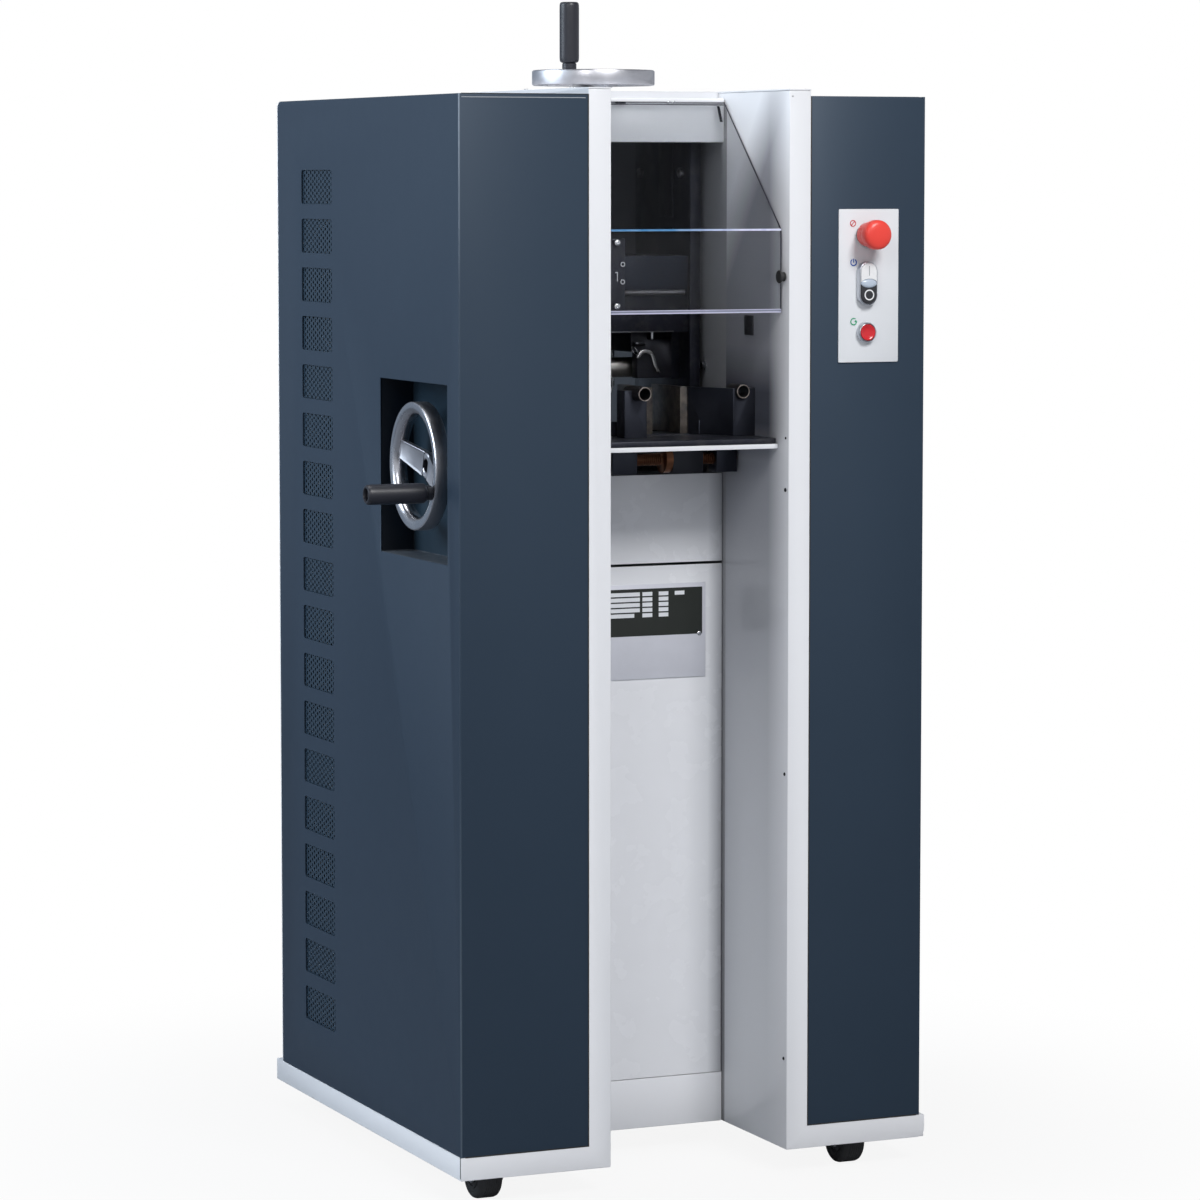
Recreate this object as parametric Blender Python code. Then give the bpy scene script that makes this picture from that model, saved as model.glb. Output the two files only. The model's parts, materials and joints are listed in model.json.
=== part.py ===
"""Floor-standing cable stripping machine, modelled piece by piece.

The model is laid out from the left cover's outer face (x, across), the front
plane (y, depth, growing towards the back) and the floor (z). Everything hangs
from one empty that puts the middle of the outline's footprint at the origin.
All sizes are in metres.
"""
import math

import bmesh
import bpy
from mathutils import Matrix, Vector

# Clearances and stock thicknesses
SEAT = 0.0003
RUNNING = 0.0005
SHEET = 0.002
BASE_SHEET = 0.003
PLATE = 0.015

# Cabinet outline
BODY_WIDTH = 0.6525
BODY_DEPTH = 0.672
LEFT_COLUMN = 0.2067
THROAT = 0.2504
RECESS_DEPTH = 0.1976
STRIP_WIDTH = 0.0305
SKIRT_BOTTOM = 0.0335
COVER_BOTTOM = 0.0635
PLINTH_TOP = 0.1005
COVER_TOP = 1.4035
PORTAL_TOP = 1.4125
RIGHT_SKIRT_OVERHANG = 0.0080
REAR_SKIRT_OVERHANG = 0.0260
CORNER_RADIUS = 0.010
BEND_RADIUS = 0.0035
PANEL_JOINT = 0.0005

# Panels in the throat
LOWER_PANEL_TOP = 0.7870
UPPER_PANEL_BOTTOM = 0.7906
UPPER_PANEL_TOP = 0.9076
BEAM_BOTTOM = 1.3445
BEAM_TOP = 1.3950
BEAM_DEPTH = 0.040
DECK_SETBACK = 0.0180

# Table
TABLE_FRONT = 0.030
TABLE_UNDERSIDE = 0.9495
TABLE_PLATE = 0.0060
LINER_PLATE = 0.0070
LINER_SETBACK = 0.0060
TABLE_TAIL = 0.0800
LINER_CORNER = 0.010
TABLE_CORNER = 0.0025

# Feed mechanism
MECHANISM_X = 0.3450
MECHANISM_WIDTH = 0.2040
MECHANISM_SETBACK = 0.0524
MECHANISM_DEPTH = 0.1800
BRIDGE_HEIGHT = 0.030
BRIDGE_UNDERSIDE = 1.3560
CARRIAGE_BOTTOM = 1.0935
CARRIAGE_HEIGHT = 0.1020
CARRIAGE_DEPTH = 0.135
CARRIAGE_SETBACK = 0.0060
CHEEK_WIDTH = 0.012
CHEEK_DEPTH = 0.056
ROLLER_SETBACK = 0.0600
UPPER_ROLLER_Z = 1.0455
UPPER_ROLLER_RADIUS = 0.0135
UPPER_ROLLER_LENGTH = 0.0920
ROLLER_JOURNAL_RADIUS = 0.0085
LOWER_ROLLER_RADIUS = 0.0300
LOWER_ROLLER_LENGTH = 0.1300
LOWER_ROLLER_PROUD = 0.0015
LOWER_SHAFT_RADIUS = 0.0125
BEARING_RADIUS = 0.026
BEARING_WIDTH = 0.012
CUT_X = 0.3635
KNIFE_THICKNESS = 0.0035
KNIFE_DEPTH = 0.034
KNIFE_SETBACK = 0.0980
KNIFE_TIP_Z = 1.0050
KNIFE_HOLDER_LEFT = 0.0080
KNIFE_HOLDER_RIGHT = 0.0520
KNIFE_HOLDER_HEIGHT = 0.026
KNIFE_SHIELD_START = 0.0015
KNIFE_SHIELD_THICKNESS = 0.0180
KNIFE_SHIELD_BOTTOM = 1.0320

# Feed spindle and hand wheels
SPINDLE_SETBACK = 0.1230
SPINDLE_RADIUS = 0.0100
SPINDLE_END_Z = 1.0550
WHEEL_RADIUS = 0.0826
RIM_WIDTH = 0.0205
RIM_RADIAL = 0.0165
HUB_RADIUS = 0.0170
SIDE_HUB_LENGTH = 0.0260
TOP_HUB_LENGTH = 0.0112
HUB_DROP = 0.0180
SPOKE_WIDTH = 0.026
SPOKE_THICKNESS = 0.008
TOP_RIM_BOTTOM = 1.4225
TOP_SPOKE_ANGLE = 220.3
GRIP_RADIUS = 0.0130
GRIP_LENGTH = 0.0810
GRIP_COLLAR_RADIUS = 0.0095
GRIP_COLLAR_LENGTH = 0.0080
GRIP_CIRCLE = 0.0725
SIDE_WHEEL_Y = 0.1620
SIDE_WHEEL_Z = 0.9305
SIDE_SPOKE_ANGLE = 16.5
SIDE_GRIP_ANGLE = 24.4
POCKET_WIDTH = 0.2375
POCKET_HEIGHT = 0.2268
POCKET_SHIFT = 0.0030
POCKET_DROP = 0.0047
POCKET_DEPTH = 0.0470
POCKET_WALL = 0.0015

# Cable guides
SCREW_RADIUS = 0.0080
SCREW_COLLAR_RADIUS = 0.0183
SCREW_COLLAR_WIDTH = 0.0095
JAW_BLOCK_WIDTH = 0.0310
JAW_BLOCK_DEPTH = 0.0260
JAW_MOUTH = 0.1240
JAW_CHANNEL = 0.0400
JAW_PLATE = 0.0095
JAW_LEAD_PLATE = 0.0060
JAW_HEIGHT = 0.0615
JAW_FRONT = 0.1000
JAW_LEAD_FRONT = 0.0075
JAW_LEAD_BACK = 0.0750
JAW_LENGTH = 0.1680
JAW_STEM = 0.0160
NUT_DEPTH = 0.0300
NUT_BOTTOM = 0.0180
NUT_OUTER = 0.0895
LEFT_NUT_INNER = 0.0545
RIGHT_NUT_INNER = 0.0605
STEM_CENTRE = 0.0750
BEARING_BLOCK_LOW = -0.0030
BEARING_BLOCK_HIGH = 0.0405
BEARING_BLOCK_DROP = 0.0185
TUBE_RADIUS = 0.0090
TUBE_BORE = 0.0076
TUBE_SINK = 0.0038
TUBE_INSET = 0.0035
LEFT_TUBE_FRONT = 0.0785
RIGHT_TUBE_FRONT = 0.0945
RAIL_HEIGHT = 0.0200
RAIL_DEPTH = 0.0120
RAIL_SETBACK = 0.0300

# Guard
GUARD_SHEET = 0.0040
GUARD_SIDE_GAP = 0.0016
GUARD_BEND_Y = 0.0200
GUARD_BEND_Z = 1.2328
GUARD_BOTTOM = 1.1258
HINGE_SETBACK = -0.0006
HINGE_ROD_RADIUS = 0.0022
HINGE_EYE_RADIUS = 0.0042
BRACKET_WIDTH = 0.025
BRACKET_HEIGHT = 0.090
BRACKET_THICKNESS = 0.003
BUFFER_RADIUS = 0.0085
BUFFER_LENGTH = 0.0085
BUFFER_Z = 1.1720
SWITCH_Y = 0.1045
SWITCH_DEPTH = 0.025
SWITCH_HEIGHT = 0.0260
SWITCH_WIDTH = 0.0020
SWITCH_Z = 1.0935

# Controls on the right cover
CONTROL_LEFT = 0.5270
CONTROL_BOTTOM = 1.0607
CONTROL_WIDTH = 0.0865
CONTROL_HEIGHT = 0.1979
CONTROL_THICKNESS = 0.0020
CONTROL_X = 0.5656
ESTOP_Z = 1.2257
ESTOP_COLLAR_RADIUS = 0.0152
ESTOP_COLLAR_DEPTH = 0.0110
ESTOP_STEM_RADIUS = 0.0120
ESTOP_STEM_DEPTH = 0.0235
ESTOP_TRAVEL = 0.0040
ESTOP_HEAD_RADIUS = 0.0191
ESTOP_HEAD_DEPTH = 0.0180
TWIN_Z = 1.1628
TWIN_WIDTH = 0.0264
TWIN_HEIGHT = 0.0564
TWIN_DEPTH = 0.0090
TWIN_RIM = 0.0020
TWIN_BUTTON_HEIGHT = 0.0185
RESET_Z = 1.0995
RESET_BEZEL_RADIUS = 0.0131
RESET_BUTTON_RADIUS = 0.0104
RESET_DEPTH = 0.0080
BUTTON_PROUD = 0.0035

# Name plate
NAMEPLATE_LEFT = 0.2320
NAMEPLATE_RIGHT = 0.4308
NAMEPLATE_BOTTOM = 0.6370
NAMEPLATE_TOP = 0.7630
NAMEPLATE_THICKNESS = 0.0012

# Drive and wiring box
GEARBOX_WIDTH = 0.100
GEARBOX_DEPTH = 0.100
GEARBOX_HEIGHT = 0.120
MOTOR_RADIUS = 0.062
MOTOR_LENGTH = 0.210
GEARMOTOR_X = 0.132
CONTROL_BOX_SIZE = (0.060, 0.230, 0.300)
CONTROL_BOX_FRONT = 0.180
CONTROL_BOX_BOTTOM = 0.700

# Outfeed opening in the rear cover
OUTFEED_WIDTH = 0.160
OUTFEED_HEIGHT = 0.120
OUTFEED_LIP = 0.018

# Casters
CASTER_WHEEL_RADIUS = 0.0320
CASTER_WHEEL_STEPS = 28
CASTER_WHEEL_WIDTH = 0.0340
CASTER_AXLE_RADIUS = 0.0050
CASTER_LEG = 0.003
CASTER_PLATE_SIZE = 0.060
CASTER_PLATE_THICKNESS = 0.003
CASTER_TRAIL = 0.026
FRONT_LEFT_INSET = 0.0475
FRONT_RIGHT_INSET = 0.0964
FRONT_CASTER_Y = 0.0440
REAR_CASTER_INSET = 0.0850
REAR_CASTER_SETBACK = 0.0720

# Places that follow from the sizes above
THROAT_RIGHT = LEFT_COLUMN + THROAT
RIGHT_COLUMN_FRAME = THROAT_RIGHT + STRIP_WIDTH
LEFT_COLUMN_FRAME = LEFT_COLUMN - STRIP_WIDTH
SKIRT_RIGHT = BODY_WIDTH + RIGHT_SKIRT_OVERHANG
SKIRT_BACK = BODY_DEPTH + REAR_SKIRT_OVERHANG
PAN_TOP = PLINTH_TOP - SEAT
PAN_UNDERSIDE = PAN_TOP - BASE_SHEET
MECHANISM_FRONT = RECESS_DEPTH + MECHANISM_SETBACK
MECHANISM_BACK = MECHANISM_FRONT + MECHANISM_DEPTH
LINER_BACK = MECHANISM_FRONT - LINER_SETBACK
TABLE_BACK = MECHANISM_BACK + TABLE_TAIL
CARRIAGE_FRONT = MECHANISM_FRONT + CARRIAGE_SETBACK
ROLLER_Y = MECHANISM_FRONT + ROLLER_SETBACK
KNIFE_FRONT = MECHANISM_FRONT + KNIFE_SETBACK
SPINDLE_Y = MECHANISM_FRONT + SPINDLE_SETBACK
POCKET_Y = SIDE_WHEEL_Y - POCKET_SHIFT
POCKET_Z = SIDE_WHEEL_Z - POCKET_DROP
RAIL_Y = SIDE_WHEEL_Y + RAIL_SETBACK
HINGE_Y = RECESS_DEPTH + HINGE_SETBACK
FRONT_CASTER_RIGHT = SKIRT_RIGHT - FRONT_RIGHT_INSET
REAR_CASTER_RIGHT = SKIRT_RIGHT - REAR_CASTER_INSET
REAR_CASTER_Y = BODY_DEPTH - REAR_CASTER_SETBACK
CASTER_AXLE_Z = CASTER_WHEEL_RADIUS * math.cos(math.pi / CASTER_WHEEL_STEPS)
TABLE_TOP = TABLE_UNDERSIDE + TABLE_PLATE
LINER_BOTTOM = TABLE_TOP + SEAT
LINER_TOP = LINER_BOTTOM + LINER_PLATE
FRAME_INNER_LEFT = MECHANISM_X - MECHANISM_WIDTH / 2 + PLATE
FRAME_INNER_RIGHT = MECHANISM_X + MECHANISM_WIDTH / 2 - PLATE
CARRIAGE_TOP = CARRIAGE_BOTTOM + CARRIAGE_HEIGHT
LOWER_ROLLER_Z = LINER_TOP + LOWER_ROLLER_PROUD - LOWER_ROLLER_RADIUS
TOP_RIM_TOP = TOP_RIM_BOTTOM + RIM_WIDTH
JAW_BOTTOM = LINER_TOP + SEAT
JAW_TOP = JAW_BOTTOM + JAW_HEIGHT
JAW_BLOCK_FRONT = SIDE_WHEEL_Y - NUT_DEPTH / 2
TUBE_Z = JAW_TOP - TUBE_SINK
HINGE_Z = BEAM_TOP + SEAT + HINGE_EYE_RADIUS
GUARD_LEFT = LEFT_COLUMN + GUARD_SIDE_GAP
GUARD_RIGHT = THROAT_RIGHT - GUARD_SIDE_GAP
GRIP_REACH = GRIP_COLLAR_LENGTH + GRIP_LENGTH
ESTOP_REACH = SEAT * 2 + CONTROL_THICKNESS + ESTOP_STEM_DEPTH + ESTOP_HEAD_DEPTH
MACHINE_LEFT = -GRIP_REACH
MACHINE_FRONT = -ESTOP_REACH
CENTRE_X = (MACHINE_LEFT + SKIRT_RIGHT) / 2
CENTRE_Y = (MACHINE_FRONT + SKIRT_BACK) / 2

COLOURS = {
    "dark_powder_coat": ((0.045, 0.075, 0.105), 0.42, 0.0),
    "white_powder_coat": ((0.80, 0.82, 0.85), 0.35, 0.0),
    "polished_aluminium": ((0.78, 0.79, 0.81), 0.22, 1.0),
    "blackened_steel": ((0.035, 0.036, 0.042), 0.40, 0.8),
    "ground_steel": ((0.55, 0.55, 0.56), 0.25, 1.0),
    "bronze": ((0.50, 0.26, 0.12), 0.35, 1.0),
    "black_plastic": ((0.03, 0.03, 0.034), 0.45, 0.0),
    "clear_sheet": ((0.75, 0.82, 0.90), 0.05, 0.0),
    "red_plastic": ((0.80, 0.05, 0.04), 0.35, 0.0),
    "white_plastic": ((0.85, 0.85, 0.86), 0.35, 0.0),
    "grey_plastic": ((0.32, 0.33, 0.35), 0.40, 0.0),
    "silver_plate": ((0.62, 0.63, 0.65), 0.30, 1.0),
    "motor_grey": ((0.20, 0.23, 0.27), 0.50, 0.0),
    "black_rubber": ((0.02, 0.02, 0.02), 0.70, 0.0),
    "zinc_steel": ((0.60, 0.61, 0.62), 0.35, 1.0),
}


def clear_scene():
    """Remove every object that the new file starts with."""
    for item in list(bpy.data.objects):
        bpy.data.objects.remove(item, do_unlink=True)


def make_materials():
    """One Principled material for each finish."""
    made = {}
    for name, (colour, roughness, metallic) in COLOURS.items():
        material = bpy.data.materials.new(name)
        material.use_nodes = True
        shader = material.node_tree.nodes["Principled BSDF"]
        shader.inputs["Base Color"].default_value = (*colour, 1.0)
        shader.inputs["Roughness"].default_value = roughness
        shader.inputs["Metallic"].default_value = metallic
        if name == "clear_sheet":
            shader.inputs["Alpha"].default_value = 0.35
        made[name] = material
    return made


def object_from(name, mesh_builder):
    """Turn a bmesh into a linked object whose faces point outwards."""
    bmesh.ops.recalc_face_normals(mesh_builder, faces=mesh_builder.faces)
    mesh = bpy.data.meshes.new(name)
    mesh_builder.to_mesh(mesh)
    mesh_builder.free()
    item = bpy.data.objects.new(name, mesh)
    bpy.context.scene.collection.objects.link(item)
    return item


def box(low, high, name="box"):
    """A rectangular block between two corners."""
    outline = [(low[0], low[1]), (high[0], low[1]), (high[0], high[1]), (low[0], high[1])]
    return prism(outline, "z", low[2], high[2], name)


def prism(outline, axis, low, high, name="prism"):
    """A flat outline of (first, second) points pushed along one axis."""
    order = {"x": (2, 0, 1), "y": (0, 2, 1), "z": (0, 1, 2)}[axis]
    shape = bmesh.new()
    rings = []
    for level in (low, high):
        ring = []
        for first, second in outline:
            values = (first, second, level)
            ring.append(shape.verts.new([round(values[index], 7) for index in order]))
        rings.append(ring)
    shape.faces.new(rings[0])
    shape.faces.new(rings[1])
    for index in range(len(outline)):
        after = (index + 1) % len(outline)
        corners = (rings[0][index], rings[0][after], rings[1][after], rings[1][index])
        shape.faces.new(corners)
    return object_from(name, shape)


def turned(profile, axis, centre, segments=32, name="turned"):
    """A closed profile of (radius, along) points turned about an axis."""
    frames = {
        "x": (Vector((1, 0, 0)), Vector((0, 1, 0)), Vector((0, 0, 1))),
        "y": (Vector((0, 1, 0)), Vector((0, 0, 1)), Vector((1, 0, 0))),
        "z": (Vector((0, 0, 1)), Vector((1, 0, 0)), Vector((0, 1, 0))),
    }
    along_axis, first, second = frames[axis]
    shape = bmesh.new()
    rings = []
    for step in range(segments):
        # Half a step of turn leaves a flat facet, and not an edge, at the bottom
        angle = 2 * math.pi * (step + 0.5) / segments
        outward = first * math.cos(angle) + second * math.sin(angle)
        ring = []
        for radius, along in profile:
            ring.append(shape.verts.new(Vector(centre) + outward * radius + along_axis * along))
        rings.append(ring)
    count = len(profile)
    for step in range(segments):
        here, there = rings[step], rings[(step + 1) % segments]
        for index in range(count):
            after = (index + 1) % count
            if profile[index][0] < 1e-9 and profile[after][0] < 1e-9:
                continue
            shape.faces.new((here[index], here[after], there[after], there[index]))
    bmesh.ops.remove_doubles(shape, verts=shape.verts, dist=1e-6)
    bmesh.ops.dissolve_degenerate(shape, edges=shape.edges, dist=1e-7)
    return object_from(name, shape)


def rod(axis, centre, radius, low, high, segments=24, name="rod"):
    """A plain cylinder; low and high are measured along its axis."""
    profile = [(0, low), (radius, low), (radius, high), (0, high)]
    return turned(profile, axis, centre, segments, name)


def tube(axis, centre, outer, inner, low, high, segments=24, name="tube"):
    """A cylinder with a bore right through it."""
    profile = [(inner, low), (outer, low), (outer, high), (inner, high)]
    return turned(profile, axis, centre, segments, name)


def rounded_outline(low, high, radius, steps=4, corners=(True, True, True, True)):
    """A rectangle with arcs at the chosen corners, counter-clockwise from low-low."""
    centres = (
        (low[0] + radius, low[1] + radius, 180),
        (high[0] - radius, low[1] + radius, 270),
        (high[0] - radius, high[1] - radius, 0),
        (low[0] + radius, high[1] - radius, 90),
    )
    sharp = ((low[0], low[1]), (high[0], low[1]), (high[0], high[1]), (low[0], high[1]))
    points = []
    for index, (across, up, start) in enumerate(centres):
        if not corners[index]:
            points.append(sharp[index])
            continue
        for step in range(steps + 1):
            angle = math.radians(start + 90 * step / steps)
            points.append((across + radius * math.cos(angle), up + radius * math.sin(angle)))
    return points


def combine(target, tool, operation):
    """Apply an exact Boolean of a helper solid to a piece and drop the helper."""
    modifier = target.modifiers.new(operation.lower(), "BOOLEAN")
    modifier.operation = operation
    modifier.object = tool
    modifier.solver = "EXACT"
    graph = bpy.context.evaluated_depsgraph_get()
    result = bpy.data.meshes.new_from_object(target.evaluated_get(graph))
    target.modifiers.clear()
    shape = bmesh.new()
    shape.from_mesh(result)
    bmesh.ops.remove_doubles(shape, verts=shape.verts, dist=1e-6)
    bmesh.ops.dissolve_degenerate(shape, edges=shape.edges, dist=1e-7)
    shape.to_mesh(result)
    shape.free()
    target.data = result
    bpy.data.objects.remove(tool, do_unlink=True)


def add(target, *tools):
    """Weld helper solids onto a piece."""
    for tool in tools:
        combine(target, tool, "UNION")


def cut(target, *tools):
    """Cut helper solids out of a piece."""
    for tool in tools:
        combine(target, tool, "DIFFERENCE")


def bevel(item, width, segments=2, angle=40.0):
    """Round the sharp edges of a piece with a live modifier."""
    modifier = item.modifiers.new("rounded edges", "BEVEL")
    modifier.width = width
    modifier.segments = segments
    modifier.limit_method = "ANGLE"
    modifier.angle_limit = math.radians(angle)
    modifier.use_clamp_overlap = True


class Machine:
    """Collects the finished pieces under one empty."""

    def __init__(self):
        self.materials = make_materials()
        self.root = bpy.data.objects.new("machine_origin", None)
        self.root.location = (-CENTRE_X, -CENTRE_Y, 0.0)
        bpy.context.scene.collection.objects.link(self.root)

    def keep(self, item, name, material, axis_point=None, smooth=False):
        """Name a piece, give it its finish and put its origin on its joint's axis."""
        item.name = name
        item.data.name = name
        item.data.materials.clear()
        item.data.materials.append(self.materials[material])
        if axis_point is not None:
            point = Vector(axis_point)
            item.data.transform(Matrix.Translation(-point))
            item.location = point
        if smooth:
            item.data.shade_smooth()
            item.data.set_sharp_from_angle(angle=math.radians(35))
        item.parent = self.root
        return item


def build_base(machine):
    """Plinth pan with its turned-down skirts, open behind the recess."""
    inner = SHEET + SEAT
    left_edge = LEFT_COLUMN - SHEET - PANEL_JOINT
    right_edge = THROAT_RIGHT + SHEET + PANEL_JOINT
    recess = RECESS_DEPTH + SHEET + PANEL_JOINT

    def outline(inset, front, side_inset):
        return [
            (side_inset, front), (left_edge - inset, front), (left_edge - inset, recess + inset),
            (right_edge + inset, recess + inset), (right_edge + inset, front),
            (SKIRT_RIGHT - side_inset, front), (SKIRT_RIGHT - side_inset, SKIRT_BACK - inset),
            (side_inset, SKIRT_BACK - inset),
        ]

    def raised_outline(inset):
        low_x = SHEET + 2 * SEAT + inset
        high_x = BODY_WIDTH - low_x
        front = inner + SHEET + inset
        back = BODY_DEPTH - SHEET - 2 * SEAT - inset
        return [
            (low_x, front), (left_edge - inset, front), (left_edge - inset, recess + inset),
            (right_edge + inset, recess + inset), (right_edge + inset, front),
            (high_x, front), (high_x, back), (low_x, back),
        ]

    ledge = COVER_BOTTOM - SEAT - BASE_SHEET
    base = prism(outline(0.0, inner, 0.0), "z", SKIRT_BOTTOM, COVER_BOTTOM - SEAT)
    add(base, prism(raised_outline(0.0), "z", ledge, PAN_TOP))
    wall = BASE_SHEET
    cut(
        base,
        prism(outline(wall, inner + wall, wall), "z", SKIRT_BOTTOM - 0.01, ledge),
        prism(raised_outline(wall), "z", ledge - 0.001, PAN_UNDERSIDE),
    )
    machine.keep(base, "base_frame", "white_powder_coat")


def above_plinth(low_x):
    """The part of an inner wall behind the kick plate that the plinth takes up."""
    return box(
        (low_x - 0.01, RECESS_DEPTH + SHEET, SKIRT_BOTTOM - 0.01),
        (low_x + SHEET + 0.01, BODY_DEPTH + 0.01, PAN_TOP + SEAT),
    )


def build_column_walls(machine):
    """White inner walls of both columns with their front strips and foot strips."""
    wall_top = PORTAL_TOP - SHEET - SEAT
    foot_top = COVER_BOTTOM - SEAT
    screw_hole = rod("x", (LEFT_COLUMN, SIDE_WHEEL_Y, SIDE_WHEEL_Z), 0.013, -0.01, 0.01)
    shaft_hole = rod("x", (LEFT_COLUMN, ROLLER_Y, LOWER_ROLLER_Z), 0.018, -0.01, 0.01)
    left = box((LEFT_COLUMN - SHEET, 0, SKIRT_BOTTOM), (LEFT_COLUMN, BODY_DEPTH, wall_top))
    add(left, box((LEFT_COLUMN_FRAME, 0, SKIRT_BOTTOM), (LEFT_COLUMN, SHEET, wall_top)))
    add(left, box((0, 0, SKIRT_BOTTOM), (LEFT_COLUMN, SHEET, foot_top)))
    cut(left, screw_hole, shaft_hole, above_plinth(LEFT_COLUMN - SHEET))
    machine.keep(left, "left_inner_wall", "white_powder_coat")

    right = box((THROAT_RIGHT, 0, SKIRT_BOTTOM), (THROAT_RIGHT + SHEET, BODY_DEPTH, wall_top))
    add(right, box((THROAT_RIGHT, 0, SKIRT_BOTTOM), (RIGHT_COLUMN_FRAME, SHEET, wall_top)))
    foot = rounded_outline(
        (THROAT_RIGHT, SKIRT_BOTTOM), (SKIRT_RIGHT, foot_top), CORNER_RADIUS,
        corners=(False, True, False, False),
    )
    add(right, prism(foot, "y", 0, SHEET))
    cut(right, above_plinth(THROAT_RIGHT))
    machine.keep(right, "right_inner_wall", "white_powder_coat")


def cover_shell(left_side):
    """Dark cover of one column: side sheet, front sheet and top sheet."""
    top, bottom, back = COVER_TOP, COVER_BOTTOM, BODY_DEPTH
    if left_side:
        outer, inner, front_end = 0.0, SHEET, LEFT_COLUMN_FRAME - PANEL_JOINT
    else:
        outer, inner, front_end = BODY_WIDTH, BODY_WIDTH - SHEET, RIGHT_COLUMN_FRAME + PANEL_JOINT
    side_outline = rounded_outline(
        (0, bottom), (back, top), CORNER_RADIUS, corners=(False, False, True, False),
    )
    shell = prism(side_outline, "x", min(outer, inner), max(outer, inner))
    near, far = sorted((outer, front_end))
    rounded = (False, False, not left_side, False)
    front_outline = rounded_outline((near, bottom), (far, top), CORNER_RADIUS, corners=rounded)
    add(shell, prism(front_outline, "y", 0, SHEET))
    inset = CORNER_RADIUS
    top_low, top_high = (near, far - inset) if not left_side else (near, far)
    add(shell, box((top_low, 0, top - SHEET), (top_high, back - inset, top)))
    return shell


def build_covers(machine):
    """Dark outer covers; the left one has the window of the hand wheel pocket."""
    left = cover_shell(True)
    half_width, half_height = POCKET_WIDTH / 2, POCKET_HEIGHT / 2
    cut(left, box(
        (-0.01, POCKET_Y - half_width, POCKET_Z - half_height),
        (0.01, POCKET_Y + half_width, POCKET_Z + half_height),
    ))
    machine.keep(left, "left_cover", "dark_powder_coat")
    right = cover_shell(False)
    machine.keep(right, "right_cover", "dark_powder_coat")

    lip = 0.012
    low = (SHEET + SEAT, POCKET_Y - half_width - lip, POCKET_Z - half_height - lip)
    high = (SHEET + SEAT + POCKET_WALL, POCKET_Y + half_width + lip, POCKET_Z + half_height + lip)
    pocket = box(low, high)
    wall = POCKET_WALL
    add(pocket, box(
        (SHEET + SEAT, POCKET_Y - half_width - wall, POCKET_Z - half_height - wall),
        (POCKET_DEPTH + wall, POCKET_Y + half_width + wall, POCKET_Z + half_height + wall),
    ))
    cut(pocket, box(
        (0.0, POCKET_Y - half_width, POCKET_Z - half_height),
        (POCKET_DEPTH, POCKET_Y + half_width, POCKET_Z + half_height),
    ))
    cut(pocket, rod("x", (POCKET_DEPTH, SIDE_WHEEL_Y, SIDE_WHEEL_Z), SCREW_RADIUS + SEAT, -0.01, 0.01))
    machine.keep(pocket, "wheel_pocket", "dark_powder_coat")


def build_throat_panels(machine):
    """Panels, kick plate and beam that close the recess between the columns."""
    left = LEFT_COLUMN + SEAT
    right = THROAT_RIGHT - SEAT
    front, back = RECESS_DEPTH, RECESS_DEPTH + SHEET
    kick = box((left, front, SKIRT_BOTTOM), (right, back, PLINTH_TOP - PANEL_JOINT))
    machine.keep(kick, "kick_plate", "white_powder_coat")
    lower = box((left, front, PLINTH_TOP + PANEL_JOINT), (right, back, LOWER_PANEL_TOP))
    machine.keep(lower, "lower_front_panel", "white_powder_coat")
    upper = box((left, front, UPPER_PANEL_BOTTOM), (right, back, UPPER_PANEL_TOP))
    machine.keep(upper, "upper_front_panel", "white_powder_coat")

    wall = 0.003
    beam = box((left, front, BEAM_BOTTOM), (right, front + BEAM_DEPTH, BEAM_TOP))
    cut(beam, box(
        (left - 0.01, front + wall, BEAM_BOTTOM + wall),
        (right + 0.01, front + BEAM_DEPTH + 0.01, BEAM_TOP - wall),
    ))
    machine.keep(beam, "top_beam", "white_powder_coat")

    plate = NAMEPLATE_THICKNESS
    tag = box(
        (NAMEPLATE_LEFT, front - SEAT - plate, NAMEPLATE_BOTTOM),
        (NAMEPLATE_RIGHT, front - SEAT, NAMEPLATE_TOP),
    )
    machine.keep(tag, "nameplate", "silver_plate")


def build_top_cover(machine):
    """Deck sheet over the portal, cut back over the throat, with a turned-down lip."""
    low, high = PORTAL_TOP - SHEET, PORTAL_TOP
    lip_front = RECESS_DEPTH + DECK_SETBACK
    deck = prism(
        [
            (LEFT_COLUMN_FRAME, 0), (LEFT_COLUMN, 0), (LEFT_COLUMN, lip_front),
            (THROAT_RIGHT, lip_front), (THROAT_RIGHT, 0), (RIGHT_COLUMN_FRAME, 0),
            (RIGHT_COLUMN_FRAME, BODY_DEPTH), (LEFT_COLUMN_FRAME, BODY_DEPTH),
        ],
        "z", low, high,
    )
    add(deck, box(
        (LEFT_COLUMN + SEAT, lip_front, BEAM_TOP + SEAT),
        (THROAT_RIGHT - SEAT, lip_front + SHEET, high),
    ))
    flange_bottom = COVER_TOP - 0.012
    for edge in (LEFT_COLUMN_FRAME, RIGHT_COLUMN_FRAME - SHEET):
        add(deck, box((edge, SHEET + SEAT, flange_bottom), (edge + SHEET, BODY_DEPTH, high)))
    cut(deck, rod("z", (MECHANISM_X, SPINDLE_Y, PORTAL_TOP), SPINDLE_RADIUS + 0.006, -0.02, 0.02))
    machine.keep(deck, "top_cover", "white_powder_coat")


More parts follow.
